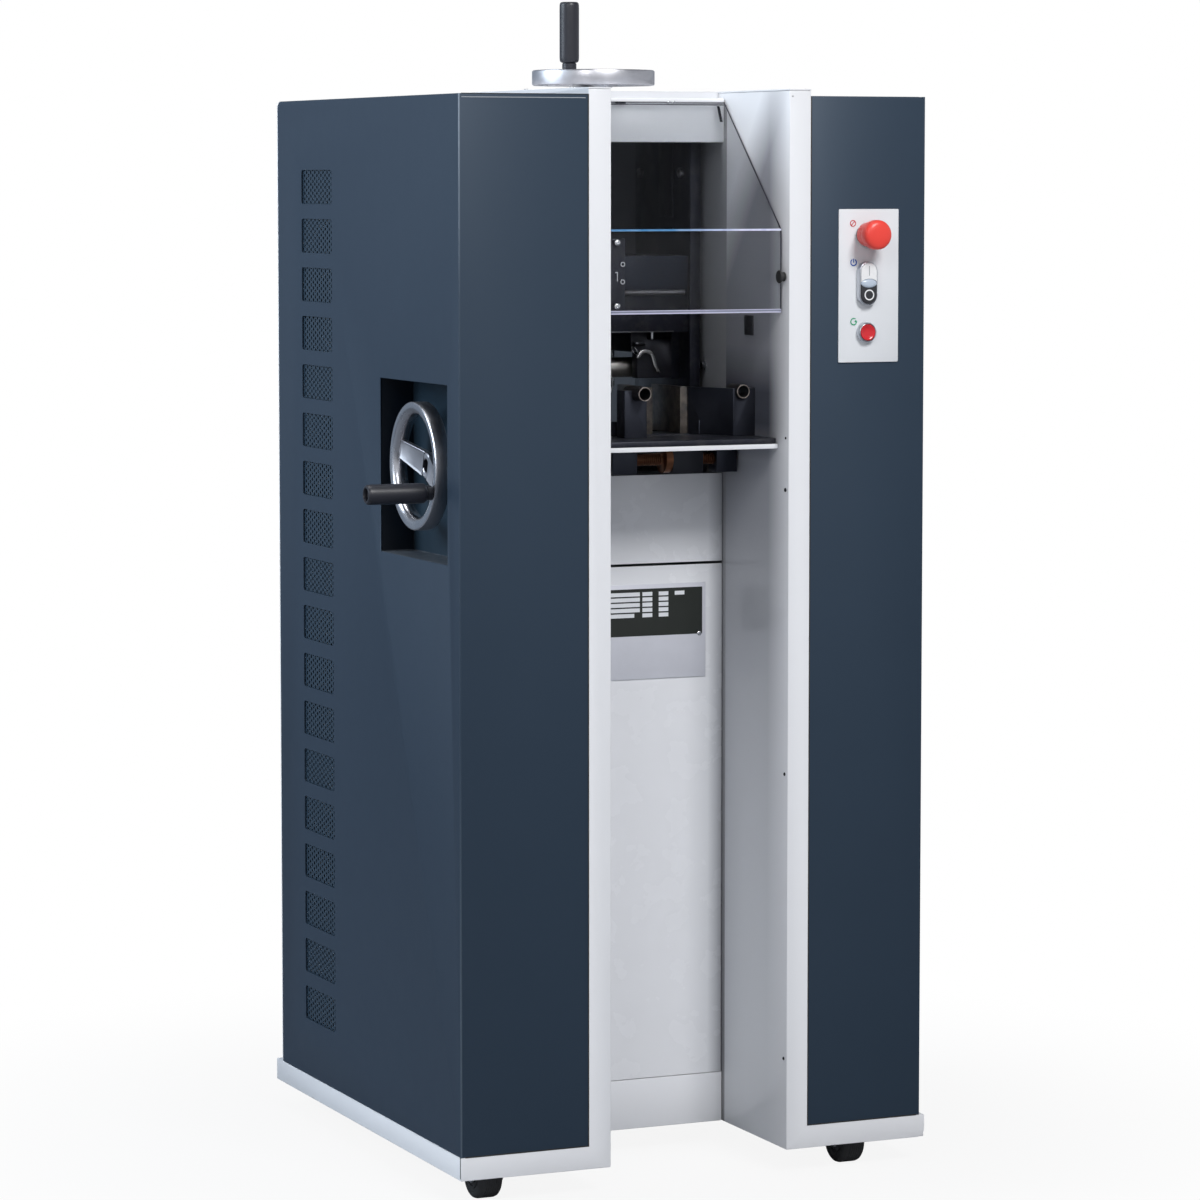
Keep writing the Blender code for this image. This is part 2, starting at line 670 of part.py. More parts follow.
def build_rear_cover(machine):
    """Back sheet with the outfeed opening and its turned lip."""
    front = BODY_DEPTH + SEAT
    back = front + SHEET
    sheet = box((0, front, COVER_BOTTOM), (BODY_WIDTH, back, COVER_TOP))
    half = OUTFEED_WIDTH / 2
    low_z = LINER_TOP - 0.010
    lip = box(
        (CUT_X - half - 0.004, front, low_z - 0.004),
        (CUT_X + half + 0.004, back + OUTFEED_LIP, low_z + OUTFEED_HEIGHT + 0.004),
    )
    add(sheet, lip)
    cut(sheet, box(
        (CUT_X - half, front - 0.01, low_z),
        (CUT_X + half, back + OUTFEED_LIP + 0.01, low_z + OUTFEED_HEIGHT),
    ))
    machine.keep(sheet, "rear_cover", "white_powder_coat")


def build_table(machine):
    """Table plate across the throat with the dark liner that the jaws slide on."""
    left = LEFT_COLUMN + SEAT
    right = THROAT_RIGHT - SEAT
    slot_low = LEFT_COLUMN + 0.008
    slot_high = THROAT_RIGHT - 0.008
    half_slot = JAW_STEM / 2 + RUNNING
    outline = rounded_outline(
        (left, TABLE_FRONT), (right, TABLE_BACK), TABLE_CORNER, corners=(True, True, False, False),
    )
    table = prism(outline, "z", TABLE_UNDERSIDE, TABLE_TOP)
    liner_outline = rounded_outline(
        (left, TABLE_FRONT), (right, LINER_BACK), LINER_CORNER, corners=(True, True, False, False),
    )
    liner = prism(liner_outline, "z", LINER_BOTTOM, LINER_TOP)
    for sheet in (table, liner):
        cut(sheet, box(
            (slot_low, SIDE_WHEEL_Y - half_slot, TABLE_UNDERSIDE - 0.01),
            (slot_high, SIDE_WHEEL_Y + half_slot, LINER_TOP + 0.01),
        ))
    reach = LOWER_ROLLER_RADIUS + 0.003
    half_roller = LOWER_ROLLER_LENGTH / 2 + 0.004
    cut(table, box(
        (MECHANISM_X - half_roller, ROLLER_Y - reach, TABLE_UNDERSIDE - 0.01),
        (MECHANISM_X + half_roller, ROLLER_Y + reach, TABLE_TOP + 0.01),
    ))
    machine.keep(table, "table_plate", "white_powder_coat")
    machine.keep(liner, "table_liner", "blackened_steel")


def frame_plate(inner_face, direction):
    """One upright of the mechanism: plate, shaft bore and foot beside the roller."""
    outer_face = inner_face + direction * PLATE
    low, high = sorted((inner_face, outer_face))
    plate = box(
        (low, MECHANISM_FRONT, TABLE_TOP + SEAT),
        (high, MECHANISM_BACK, BRIDGE_UNDERSIDE - SEAT),
    )
    hanger_top = TABLE_UNDERSIDE - SEAT
    return plate, (low, high, hanger_top)


def build_frame(machine):
    """Uprights, the bearing blocks under the table and the bridge on top."""
    for side, face, direction in (
        ("left", FRAME_INNER_LEFT, -1), ("right", FRAME_INNER_RIGHT, 1),
    ):
        plate, (low, high, hanger_top) = frame_plate(face, direction)
        machine.keep(plate, "frame_plate_" + side, "blackened_steel")
        half = BEARING_RADIUS + 0.008
        block = box(
            (low, ROLLER_Y - half, LOWER_ROLLER_Z - half),
            (high, ROLLER_Y + half, hanger_top),
        )
        bore = LOWER_SHAFT_RADIUS + RUNNING
        cut(block, rod("x", (low, ROLLER_Y, LOWER_ROLLER_Z), bore, -0.01, PLATE + 0.01))
        machine.keep(block, "roller_bearing_" + side, "ground_steel")
    outer = MECHANISM_WIDTH / 2
    bridge = box(
        (MECHANISM_X - outer, MECHANISM_FRONT, BRIDGE_UNDERSIDE),
        (MECHANISM_X + outer, MECHANISM_BACK, BRIDGE_UNDERSIDE + BRIDGE_HEIGHT),
    )
    bore = SPINDLE_RADIUS + RUNNING
    cut(bridge, rod("z", (MECHANISM_X, SPINDLE_Y, BRIDGE_UNDERSIDE), bore, -0.01, BRIDGE_HEIGHT + 0.01))
    machine.keep(bridge, "top_bridge", "blackened_steel")


def build_carriage(machine):
    """Sliding block with its cheeks, the knife holder and the knife."""
    left = FRAME_INNER_LEFT + RUNNING
    right = FRAME_INNER_RIGHT - RUNNING
    block = box(
        (left, CARRIAGE_FRONT, CARRIAGE_BOTTOM),
        (right, CARRIAGE_FRONT + CARRIAGE_DEPTH, CARRIAGE_TOP),
    )
    half = CHEEK_DEPTH / 2
    foot = UPPER_ROLLER_Z - UPPER_ROLLER_RADIUS - 0.002
    for low, high in ((left, left + CHEEK_WIDTH), (right - CHEEK_WIDTH, right)):
        add(block, box((low, ROLLER_Y - half, foot), (high, ROLLER_Y + half, CARRIAGE_BOTTOM + 0.01)))
    journal = ROLLER_JOURNAL_RADIUS + RUNNING
    cut(block, rod("x", (left, ROLLER_Y, UPPER_ROLLER_Z), journal, -0.01, right - left + 0.01))
    cut(block, rod("z", (MECHANISM_X, SPINDLE_Y, CARRIAGE_BOTTOM), SPINDLE_RADIUS + RUNNING, -0.1, 0.2))
    machine.keep(block, "carriage", "blackened_steel", (MECHANISM_X, SPINDLE_Y, CARRIAGE_BOTTOM))

    holder_top = CARRIAGE_BOTTOM - SEAT
    holder_bottom = holder_top - KNIFE_HOLDER_HEIGHT
    holder_right = CUT_X + KNIFE_HOLDER_RIGHT
    holder_front = CARRIAGE_FRONT + 0.016
    slot = KNIFE_THICKNESS / 2 + SEAT
    knife_back = KNIFE_FRONT + KNIFE_DEPTH
    holder = box(
        (CUT_X - KNIFE_HOLDER_LEFT, holder_front, holder_bottom),
        (holder_right, SPINDLE_Y - SPINDLE_RADIUS - 0.002, holder_top),
    )
    add(holder, box(
        (CUT_X + KNIFE_SHIELD_START, holder_front, KNIFE_SHIELD_BOTTOM),
        (holder_right, holder_front + KNIFE_SHIELD_THICKNESS, holder_bottom + 0.004),
    ))
    add(holder, box(
        (CUT_X + SPINDLE_RADIUS - 0.014, KNIFE_FRONT, holder_bottom),
        (holder_right, knife_back, holder_top),
    ))
    cut(holder, rod("z", (MECHANISM_X, SPINDLE_Y, holder_bottom), SPINDLE_RADIUS + 0.002, -0.05, 0.05))
    cut(holder, box(
        (CUT_X - slot, KNIFE_FRONT - SEAT, holder_bottom - 0.01),
        (CUT_X + slot, knife_back + 0.01, holder_top + 0.01),
    ))
    machine.keep(holder, "knife_holder", "blackened_steel")

    tip = 0.014
    blade = prism(
        [
            (KNIFE_FRONT, holder_top - 0.003), (KNIFE_FRONT, KNIFE_TIP_Z + tip),
            (KNIFE_FRONT + tip, KNIFE_TIP_Z), (knife_back, KNIFE_TIP_Z + tip / 2),
            (knife_back, holder_top - 0.003),
        ],
        "x", CUT_X - KNIFE_THICKNESS / 2, CUT_X + KNIFE_THICKNESS / 2,
    )
    machine.keep(blade, "knife_blade", "ground_steel")


def build_rollers(machine):
    """Upper pressure roller with its journals and the driven roller with its shaft."""
    left = FRAME_INNER_LEFT + RUNNING
    right = FRAME_INNER_RIGHT - RUNNING
    half = UPPER_ROLLER_LENGTH / 2
    radius, journal = UPPER_ROLLER_RADIUS, ROLLER_JOURNAL_RADIUS
    neck = journal + 0.002
    centre = (MECHANISM_X, ROLLER_Y, UPPER_ROLLER_Z)
    reach = right - MECHANISM_X
    collar = reach - CHEEK_WIDTH - 0.0015
    upper = turned(
        [
            (0, -reach + SEAT), (journal, -reach + SEAT), (journal, -collar), (neck, -collar),
            (neck, -half), (radius, -half), (radius, half), (neck, half),
            (neck, collar), (journal, collar), (journal, reach - SEAT), (0, reach - SEAT),
        ],
        "x", centre, 28,
    )
    machine.keep(upper, "upper_roller", "ground_steel", centre, smooth=True)

    centre = (MECHANISM_X, ROLLER_Y, LOWER_ROLLER_Z)
    half = LOWER_ROLLER_LENGTH / 2
    shaft = LOWER_SHAFT_RADIUS
    right_end = FRAME_INNER_RIGHT + PLATE - MECHANISM_X
    left_end = GEARMOTOR_X + GEARBOX_WIDTH / 2 - 0.040 - MECHANISM_X
    lower = turned(
        [
            (0, left_end), (shaft, left_end), (shaft, -half), (LOWER_ROLLER_RADIUS, -half),
            (LOWER_ROLLER_RADIUS, half), (shaft, half), (shaft, right_end), (0, right_end),
        ],
        "x", centre, 32,
    )
    machine.keep(lower, "lower_roller", "ground_steel", centre, smooth=True)


def build_gearmotor(machine):
    """Worm gearbox on the lower roller's shaft with its motor hanging below."""
    half_w, half_d, half_h = GEARBOX_WIDTH / 2, GEARBOX_DEPTH / 2, GEARBOX_HEIGHT / 2
    gearbox = box(
        (GEARMOTOR_X - half_w, ROLLER_Y - half_d, LOWER_ROLLER_Z - half_h),
        (GEARMOTOR_X + half_w, ROLLER_Y + half_d, LOWER_ROLLER_Z + half_h),
    )
    centre = (GEARMOTOR_X, ROLLER_Y, LOWER_ROLLER_Z - half_h)
    add(gearbox, rod("z", centre, MOTOR_RADIUS, -MOTOR_LENGTH, 0.002, 24))
    wall = LEFT_COLUMN - SHEET - SEAT
    flange = box(
        (GEARMOTOR_X + half_w - 0.004, ROLLER_Y - half_d - 0.02, LOWER_ROLLER_Z + half_h - 0.024),
        (wall, ROLLER_Y + half_d + 0.02, LOWER_ROLLER_Z + half_h - 0.004),
    )
    add(gearbox, flange)
    bore = LOWER_SHAFT_RADIUS + RUNNING
    cut(gearbox, rod("x", (GEARMOTOR_X, ROLLER_Y, LOWER_ROLLER_Z), bore, -half_w + 0.02, half_w + 0.01))
    machine.keep(gearbox, "gearmotor", "motor_grey")


def hand_wheel(axis, centre, spoke_angle, outward, hub_length):
    """Two-spoke wheel: flat-sided rim, dished spokes and a hub on the machine's side.

    The centre is at the rim's outer face on the axis, and outward is +1 or -1
    along the axis towards the operator.
    """
    outer, inner = WHEEL_RADIUS, WHEEL_RADIUS - RIM_RADIAL
    chamfer = 0.003
    back = -outward * RIM_WIDTH
    step = -outward * chamfer
    rim = turned(
        [
            (outer - chamfer, 0), (outer, step), (outer, back - step), (outer - chamfer, back),
            (inner + chamfer, back), (inner, back - step), (inner, step), (inner + chamfer, 0),
        ],
        axis, centre, 48,
    )
    hub_front = -outward * HUB_DROP
    hub_back = -outward * (HUB_DROP + hub_length)
    first, second = math.cos(math.radians(spoke_angle)), math.sin(math.radians(spoke_angle))
    frames = {
        "x": (Vector((1, 0, 0)), Vector((0, first, second))),
        "z": (Vector((0, 0, 1)), Vector((first, second, 0))),
    }
    along, spoke = frames[axis]
    across = along.cross(spoke)
    shape = bmesh.new()
    for side in (1, -1):
        ends = (
            (0.004, hub_front * 1.05, SPOKE_WIDTH * 0.62),
            (inner + RIM_RADIAL * 0.35, -outward * RIM_WIDTH * 0.45, SPOKE_WIDTH / 2),
        )
        rings = []
        for distance, level, half in ends:
            middle = Vector(centre) + spoke * side * distance + along * level
            thick = along * (-outward * SPOKE_THICKNESS)
            ring = [
                middle - across * half, middle + across * half,
                middle + across * half + thick, middle - across * half + thick,
            ]
            rings.append([shape.verts.new(point) for point in ring])
        shape.faces.new(rings[0])
        shape.faces.new(rings[1])
        for index in range(4):
            after = (index + 1) % 4
            shape.faces.new((rings[0][index], rings[0][after], rings[1][after], rings[1][index]))
    spokes = object_from("spokes", shape)
    low, high = sorted((hub_front, hub_back))
    hub = rod(axis, centre, HUB_RADIUS, low, high, 24)
    add(hub, spokes)
    add(rim, hub)
    return rim


def grip(axis, centre, outward):
    """Revolving grip with its collar, standing on the rim's outer face."""
    collar = outward * GRIP_COLLAR_LENGTH
    end = outward * GRIP_REACH
    soft = outward * 0.002
    start = outward * SEAT
    return turned(
        [
            (0, start), (GRIP_COLLAR_RADIUS, start), (GRIP_COLLAR_RADIUS, collar),
            (GRIP_RADIUS - 0.002, collar), (GRIP_RADIUS, collar + soft),
            (GRIP_RADIUS, end - soft), (GRIP_RADIUS - 0.002, end), (0, end),
        ],
        axis, centre, 24,
    )


def grip_place(spoke_angle):
    """Offset of a grip from its wheel's axis, at the far end of one spoke."""
    angle = math.radians(spoke_angle + 180)
    return GRIP_CIRCLE * math.cos(angle), GRIP_CIRCLE * math.sin(angle)


def build_hand_wheels(machine):
    """Top wheel with the feed spindle, side wheel with the jaw screw, both grips."""
    bore = SPINDLE_RADIUS + SEAT
    top_centre = (MECHANISM_X, SPINDLE_Y, TOP_RIM_TOP)
    wheel = hand_wheel("z", top_centre, TOP_SPOKE_ANGLE - 180, 1, TOP_HUB_LENGTH)
    cut(wheel, rod("z", top_centre, bore, -0.06, 0.01))
    machine.keep(wheel, "top_handwheel", "polished_aluminium", top_centre, smooth=True)
    flange = SPINDLE_RADIUS + 0.004
    top_end = TOP_RIM_TOP - HUB_DROP - 0.002
    seat = TOP_RIM_TOP - HUB_DROP - TOP_HUB_LENGTH - SEAT
    collar_low = BRIDGE_UNDERSIDE + BRIDGE_HEIGHT + SEAT
    spindle = turned(
        [
            (0, SPINDLE_END_Z), (SPINDLE_RADIUS, SPINDLE_END_Z), (SPINDLE_RADIUS, collar_low),
            (flange, collar_low), (flange, seat), (SPINDLE_RADIUS, seat),
            (SPINDLE_RADIUS, top_end), (0, top_end),
        ],
        "z", (MECHANISM_X, SPINDLE_Y, 0.0), 24,
    )
    machine.keep(spindle, "feed_spindle", "ground_steel", (MECHANISM_X, SPINDLE_Y, CARRIAGE_TOP), smooth=True)
    off_x, off_y = grip_place(TOP_SPOKE_ANGLE - 180)
    top_pin = (MECHANISM_X + off_x, SPINDLE_Y + off_y, TOP_RIM_TOP)
    machine.keep(grip("z", top_pin, 1), "top_wheel_grip", "black_plastic", top_pin, smooth=True)

    side_centre = (0.0, SIDE_WHEEL_Y, SIDE_WHEEL_Z)
    wheel = hand_wheel("x", side_centre, SIDE_SPOKE_ANGLE, -1, SIDE_HUB_LENGTH)
    cut(wheel, rod("x", side_centre, SCREW_RADIUS + SEAT, -0.01, 0.06))
    machine.keep(wheel, "side_handwheel", "polished_aluminium", side_centre, smooth=True)
    start = HUB_DROP + 0.010
    end = THROAT_RIGHT - SEAT
    collar = SCREW_COLLAR_RADIUS
    collar_end = CUT_X + BEARING_BLOCK_LOW - SEAT
    collar_start = collar_end - SCREW_COLLAR_WIDTH
    screw = turned(
        [
            (0, start), (SCREW_RADIUS, start), (SCREW_RADIUS, collar_start),
            (collar, collar_start), (collar, collar_end), (SCREW_RADIUS, collar_end),
            (SCREW_RADIUS, end), (0, end),
        ],
        "x", side_centre, 24,
    )
    machine.keep(screw, "jaw_screw", "bronze", side_centre, smooth=True)
    off_y, off_z = grip_place(SIDE_GRIP_ANGLE)
    side_pin = (0.0, SIDE_WHEEL_Y + off_y, SIDE_WHEEL_Z + off_z)
    machine.keep(grip("x", side_pin, -1), "side_wheel_grip", "black_plastic", side_pin, smooth=True)


def jaw_outline(outward):
    """Plan of one jaw: front block, slanted lead-in plate and channel plate behind it."""
    mouth = JAW_MOUTH / 2
    channel = JAW_CHANNEL / 2
    outer = channel + JAW_PLATE
    block_end = mouth + JAW_BLOCK_WIDTH
    block_back = JAW_FRONT + JAW_BLOCK_DEPTH
    start = Vector((mouth - 0.0025, JAW_FRONT + JAW_LEAD_FRONT))
    end = Vector((outer, JAW_FRONT + JAW_LEAD_BACK))
    along = (end - start).normalized()
    back = Vector((along.y, -along.x)) * JAW_LEAD_PLATE
    slope = along.x / along.y
    behind_block = start.x + back.x + (block_back - start.y - back.y) * slope
    meet = end.y + back.y + (outer - end.x - back.x) / slope
    corners = [
        (block_end, JAW_FRONT), (mouth, JAW_FRONT), (start.x, start.y), (end.x, end.y),
        (channel, end.y), (channel, JAW_FRONT + JAW_LENGTH), (outer, JAW_FRONT + JAW_LENGTH),
        (outer, meet), (behind_block, block_back), (block_end, block_back),
    ]
    return [(CUT_X + outward * across, depth) for across, depth in corners]


def build_jaws(machine):
    """Two cable guide jaws with stems, nuts and tubes, and the rail with the screw's bearing."""
    for side, outward, tube_front, nut_inner in (
        ("left", -1, LEFT_TUBE_FRONT, LEFT_NUT_INNER),
        ("right", 1, RIGHT_TUBE_FRONT, RIGHT_NUT_INNER),
    ):
        jaw = prism(jaw_outline(outward), "z", JAW_BOTTOM, JAW_TOP)
        half = JAW_STEM / 2
        stem = CUT_X + outward * STEM_CENTRE
        lead = JAW_CHANNEL / 2 + JAW_PLATE + 0.008
        rib_low, rib_high = sorted((CUT_X + outward * lead, stem + outward * half))
        add(jaw, box(
            (rib_low, SIDE_WHEEL_Y - half, JAW_BOTTOM),
            (rib_high, SIDE_WHEEL_Y + half, JAW_BOTTOM + 0.018),
        ))
        add(jaw, box(
            (stem - half, SIDE_WHEEL_Y - half, SIDE_WHEEL_Z),
            (stem + half, SIDE_WHEEL_Y + half, JAW_BOTTOM + 0.010),
        ))
        nut_low, nut_high = sorted((CUT_X + outward * nut_inner, CUT_X + outward * NUT_OUTER))
        nut_top = TABLE_UNDERSIDE - 0.001
        add(jaw, box(
            (nut_low, SIDE_WHEEL_Y - NUT_DEPTH / 2, SIDE_WHEEL_Z - NUT_BOTTOM),
            (nut_high, SIDE_WHEEL_Y + NUT_DEPTH / 2, nut_top),
        ))
        cut(jaw, rod("x", (stem, SIDE_WHEEL_Y, SIDE_WHEEL_Z), SCREW_RADIUS + RUNNING, -0.05, 0.05))
        tube_x = CUT_X + outward * ((JAW_MOUTH + JAW_BLOCK_WIDTH) / 2 - TUBE_INSET)
        tube_centre = (tube_x, 0.0, TUBE_Z)
        cut(jaw, rod("y", tube_centre, TUBE_RADIUS + SEAT, JAW_FRONT - 0.01, JAW_FRONT + 0.05))
        origin = (CUT_X + outward * JAW_CHANNEL / 2, SIDE_WHEEL_Y, JAW_BOTTOM)
        machine.keep(jaw, side + "_jaw", "blackened_steel", origin)
        guide = tube(
            "y", tube_centre, TUBE_RADIUS, TUBE_BORE, tube_front, JAW_FRONT + JAW_BLOCK_DEPTH + 0.004,
        )
        machine.keep(guide, side + "_guide_tube", "ground_steel", smooth=True)
    rail_top = TABLE_UNDERSIDE - SEAT
    rail = box(
        (LEFT_COLUMN + SEAT, RAIL_Y, rail_top - RAIL_HEIGHT),
        (THROAT_RIGHT - SEAT, RAIL_Y + RAIL_DEPTH, rail_top),
    )
    add(rail, box(
        (CUT_X + BEARING_BLOCK_LOW, JAW_BLOCK_FRONT, SIDE_WHEEL_Z - BEARING_BLOCK_DROP),
        (CUT_X + BEARING_BLOCK_HIGH, RAIL_Y + 0.004, rail_top),
    ))
    cut(rail, rod("x", (CUT_X, SIDE_WHEEL_Y, SIDE_WHEEL_Z), SCREW_RADIUS + RUNNING, -0.02, 0.06))
    machine.keep(rail, "table_rail", "blackened_steel")


def build_guard(machine):
    """Bent clear guard on its rod, with its bracket and side buffer."""
    slope = Vector((GUARD_BEND_Y - HINGE_Y, GUARD_BEND_Z - HINGE_Z))
    slope.normalize()
    normal = Vector((slope.y, -slope.x))
    if normal.x > 0:
        normal = -normal
    start = Vector((HINGE_Y, HINGE_Z)) + slope * (HINGE_EYE_RADIUS - 0.0015)
    inner = GUARD_BEND_Y + GUARD_SHEET
    half = normal * GUARD_SHEET / 2
    bend_outer = Vector((GUARD_BEND_Y, GUARD_BEND_Z))
    bend_inner = Vector((inner, GUARD_BEND_Z - GUARD_SHEET * 0.42))
    outline = [
        tuple(start + half), tuple(bend_outer), (GUARD_BEND_Y, GUARD_BOTTOM),
        (inner, GUARD_BOTTOM), tuple(bend_inner), tuple(start - half),
    ]
    guard = prism(outline, "x", GUARD_LEFT, GUARD_RIGHT)
    hinge = (GUARD_LEFT, HINGE_Y, HINGE_Z)
    bore = HINGE_ROD_RADIUS + SEAT
    add(guard, tube("x", hinge, HINGE_EYE_RADIUS, bore, 0.0, GUARD_RIGHT - GUARD_LEFT, 20))
    cut(guard, rod("x", hinge, bore, -0.01, GUARD_RIGHT - GUARD_LEFT + 0.01, 20))
    machine.keep(guard, "guard_screen", "clear_sheet", hinge)

    pin = rod("x", hinge, HINGE_ROD_RADIUS, SEAT - GUARD_SIDE_GAP, THROAT_RIGHT - SEAT - GUARD_LEFT, 20)
    machine.keep(pin, "guard_hinge_rod", "ground_steel", smooth=True)

    low_x = GUARD_LEFT + 0.0035
    bracket_y = inner + SEAT
    bracket = box(
        (low_x, bracket_y, GUARD_BOTTOM + 0.006),
        (low_x + BRACKET_WIDTH, bracket_y + BRACKET_THICKNESS, GUARD_BOTTOM + 0.006 + BRACKET_HEIGHT),
    )
    machine.keep(bracket, "guard_bracket", "blackened_steel")

    buffer_centre = (GUARD_RIGHT - BUFFER_LENGTH, GUARD_BEND_Y - SEAT - BUFFER_RADIUS, BUFFER_Z)
    rubber = rod("x", buffer_centre, BUFFER_RADIUS, 0.0, BUFFER_LENGTH, 20)
    machine.keep(rubber, "guard_buffer", "black_rubber", smooth=True)

    switch_right = THROAT_RIGHT - SEAT
    switch = box(
        (switch_right - SWITCH_WIDTH, SWITCH_Y, SWITCH_Z),
        (switch_right, SWITCH_Y + SWITCH_DEPTH, SWITCH_Z + SWITCH_HEIGHT),
    )
    machine.keep(switch, "safety_switch", "black_plastic")


def build_controls(machine):
    """Control plate with the emergency stop, the twin button and the reset button."""
    plate_back = -SEAT
    plate_front = plate_back - CONTROL_THICKNESS
    plate_outline = rounded_outline(
        (CONTROL_LEFT, CONTROL_BOTTOM),
        (CONTROL_LEFT + CONTROL_WIDTH, CONTROL_BOTTOM + CONTROL_HEIGHT), 0.0015, steps=2,
    )
    plate = prism(plate_outline, "y", plate_front, plate_back)
    machine.keep(plate, "control_plate", "white_powder_coat")
    seat = plate_front - SEAT

    estop = (CONTROL_X, 0.0, ESTOP_Z)
    collar = tube(
        "y", estop, ESTOP_COLLAR_RADIUS, ESTOP_STEM_RADIUS + RUNNING, seat - ESTOP_COLLAR_DEPTH, seat, 28,
    )
    machine.keep(collar, "estop_collar", "black_plastic", smooth=True)
    stem_front = seat - ESTOP_STEM_DEPTH
    stem_back = seat - ESTOP_TRAVEL - RUNNING
    stem = rod("y", estop, ESTOP_STEM_RADIUS, stem_front + SEAT, stem_back, 24)
    machine.keep(stem, "estop_stem", "red_plastic", estop, smooth=True)
    head_back = stem_front
    head_front = head_back - ESTOP_HEAD_DEPTH
    radius = ESTOP_HEAD_RADIUS
    head = turned(
        [
            (0, head_back), (radius * 0.72, head_back), (radius, head_back - 0.0035),
            (radius, head_front + 0.005), (radius * 0.93, head_front + 0.0015),
            (radius * 0.78, head_front), (0, head_front),
        ],
        "y", estop, 32,
    )
    machine.keep(head, "estop_head", "red_plastic", estop, smooth=True)

    half_w, half_h = TWIN_WIDTH / 2, TWIN_HEIGHT / 2
    twin_front = seat - TWIN_DEPTH
    bezel = prism(
        rounded_outline(
            (CONTROL_X - half_w, TWIN_Z - half_h), (CONTROL_X + half_w, TWIN_Z + half_h),
            half_w - 0.0008, steps=6,
        ),
        "y", twin_front, seat,
    )
    inner_w = half_w - TWIN_RIM
    lens_half = half_h - TWIN_RIM - TWIN_BUTTON_HEIGHT
    for side, name, material in ((1, "start_button", "white_plastic"), (-1, "stop_button", "black_plastic")):
        far = TWIN_Z + side * (half_h - TWIN_RIM)
        near = TWIN_Z + side * lens_half
        low, high = sorted((far, near))
        corners = (False, False, True, True) if side > 0 else (True, True, False, False)
        opening = rounded_outline(
            (CONTROL_X - inner_w, low), (CONTROL_X + inner_w, high), inner_w - 0.001, steps=5, corners=corners,
        )
        cut(bezel, prism(opening, "y", twin_front - 0.01, seat - 0.0015))
        slim = RUNNING
        key_outline = rounded_outline(
            (CONTROL_X - inner_w + slim, low + slim), (CONTROL_X + inner_w - slim, high - slim),
            inner_w - 0.001 - slim, steps=5, corners=corners,
        )
        key_back = seat - 0.0015 - SEAT - BUTTON_PROUD
        key = prism(key_outline, "y", twin_front - BUTTON_PROUD * 0.4, key_back)
        machine.keep(key, name, material, (CONTROL_X, key_back, (low + high) / 2))
    machine.keep(bezel, "twin_bezel", "grey_plastic")

    reset = (CONTROL_X, 0.0, RESET_Z)
    ring = turned(
        [
            (0, seat), (RESET_BEZEL_RADIUS, seat), (RESET_BEZEL_RADIUS, seat - RESET_DEPTH + 0.002),
            (RESET_BUTTON_RADIUS + 0.0015, seat - RESET_DEPTH),
            (RESET_BUTTON_RADIUS + RUNNING, seat - RESET_DEPTH + 0.001),
            (RESET_BUTTON_RADIUS + RUNNING, seat - 0.0015), (0, seat - 0.0015),
        ],
        "y", reset, 28,
    )
    machine.keep(ring, "reset_bezel", "zinc_steel", smooth=True)
    button_back = seat - 0.0015 - SEAT - 0.0031
    button = rod("y", reset, RESET_BUTTON_RADIUS, seat - RESET_DEPTH - 0.0005, button_back, 24)
    machine.keep(button, "reset_button", "red_plastic", reset, smooth=True)

    width, depth, height = CONTROL_BOX_SIZE
    wall = THROAT_RIGHT + SHEET + SEAT
    wiring = box(
        (wall, CONTROL_BOX_FRONT, CONTROL_BOX_BOTTOM),
        (wall + width, CONTROL_BOX_FRONT + depth, CONTROL_BOX_BOTTOM + height),
    )
    machine.keep(wiring, "wiring_box", "grey_plastic")


def caster_fork(x, y, trail):
    """Top plate, two legs and the axle of one caster; the wheel trails towards +y."""
    plate_top = PAN_UNDERSIDE - SEAT
    plate_low = plate_top - CASTER_PLATE_THICKNESS
    half = CASTER_PLATE_SIZE / 2
    wheel_top = 2 * CASTER_WHEEL_RADIUS
    crown_low = wheel_top + 0.003
    side = CASTER_WHEEL_WIDTH / 2 + 0.002
    fork = box((x - half, y - half, plate_low), (x + half, y + half, plate_top))
    outer = side + CASTER_LEG
    wheel_y = y + trail
    reach = 0.014
    low_y, high_y = min(y - 0.022, wheel_y - reach), max(y + 0.022, wheel_y + reach)
    add(fork, box((x - outer, low_y, crown_low), (x + outer, high_y, plate_low + 0.001)))
    for direction in (-1, 1):
        low_x, high_x = sorted((x + direction * side, x + direction * outer))
        leg = prism(
            [
                (wheel_y - reach, CASTER_AXLE_Z - 0.008), (wheel_y + reach, CASTER_AXLE_Z - 0.008),
                (high_y, crown_low + 0.001), (low_y, crown_low + 0.001),
            ],
            "x", low_x, high_x,
        )
        add(fork, leg)
    add(fork, rod("x", (x, wheel_y, CASTER_AXLE_Z), CASTER_AXLE_RADIUS, -outer, outer, 16))
    return fork


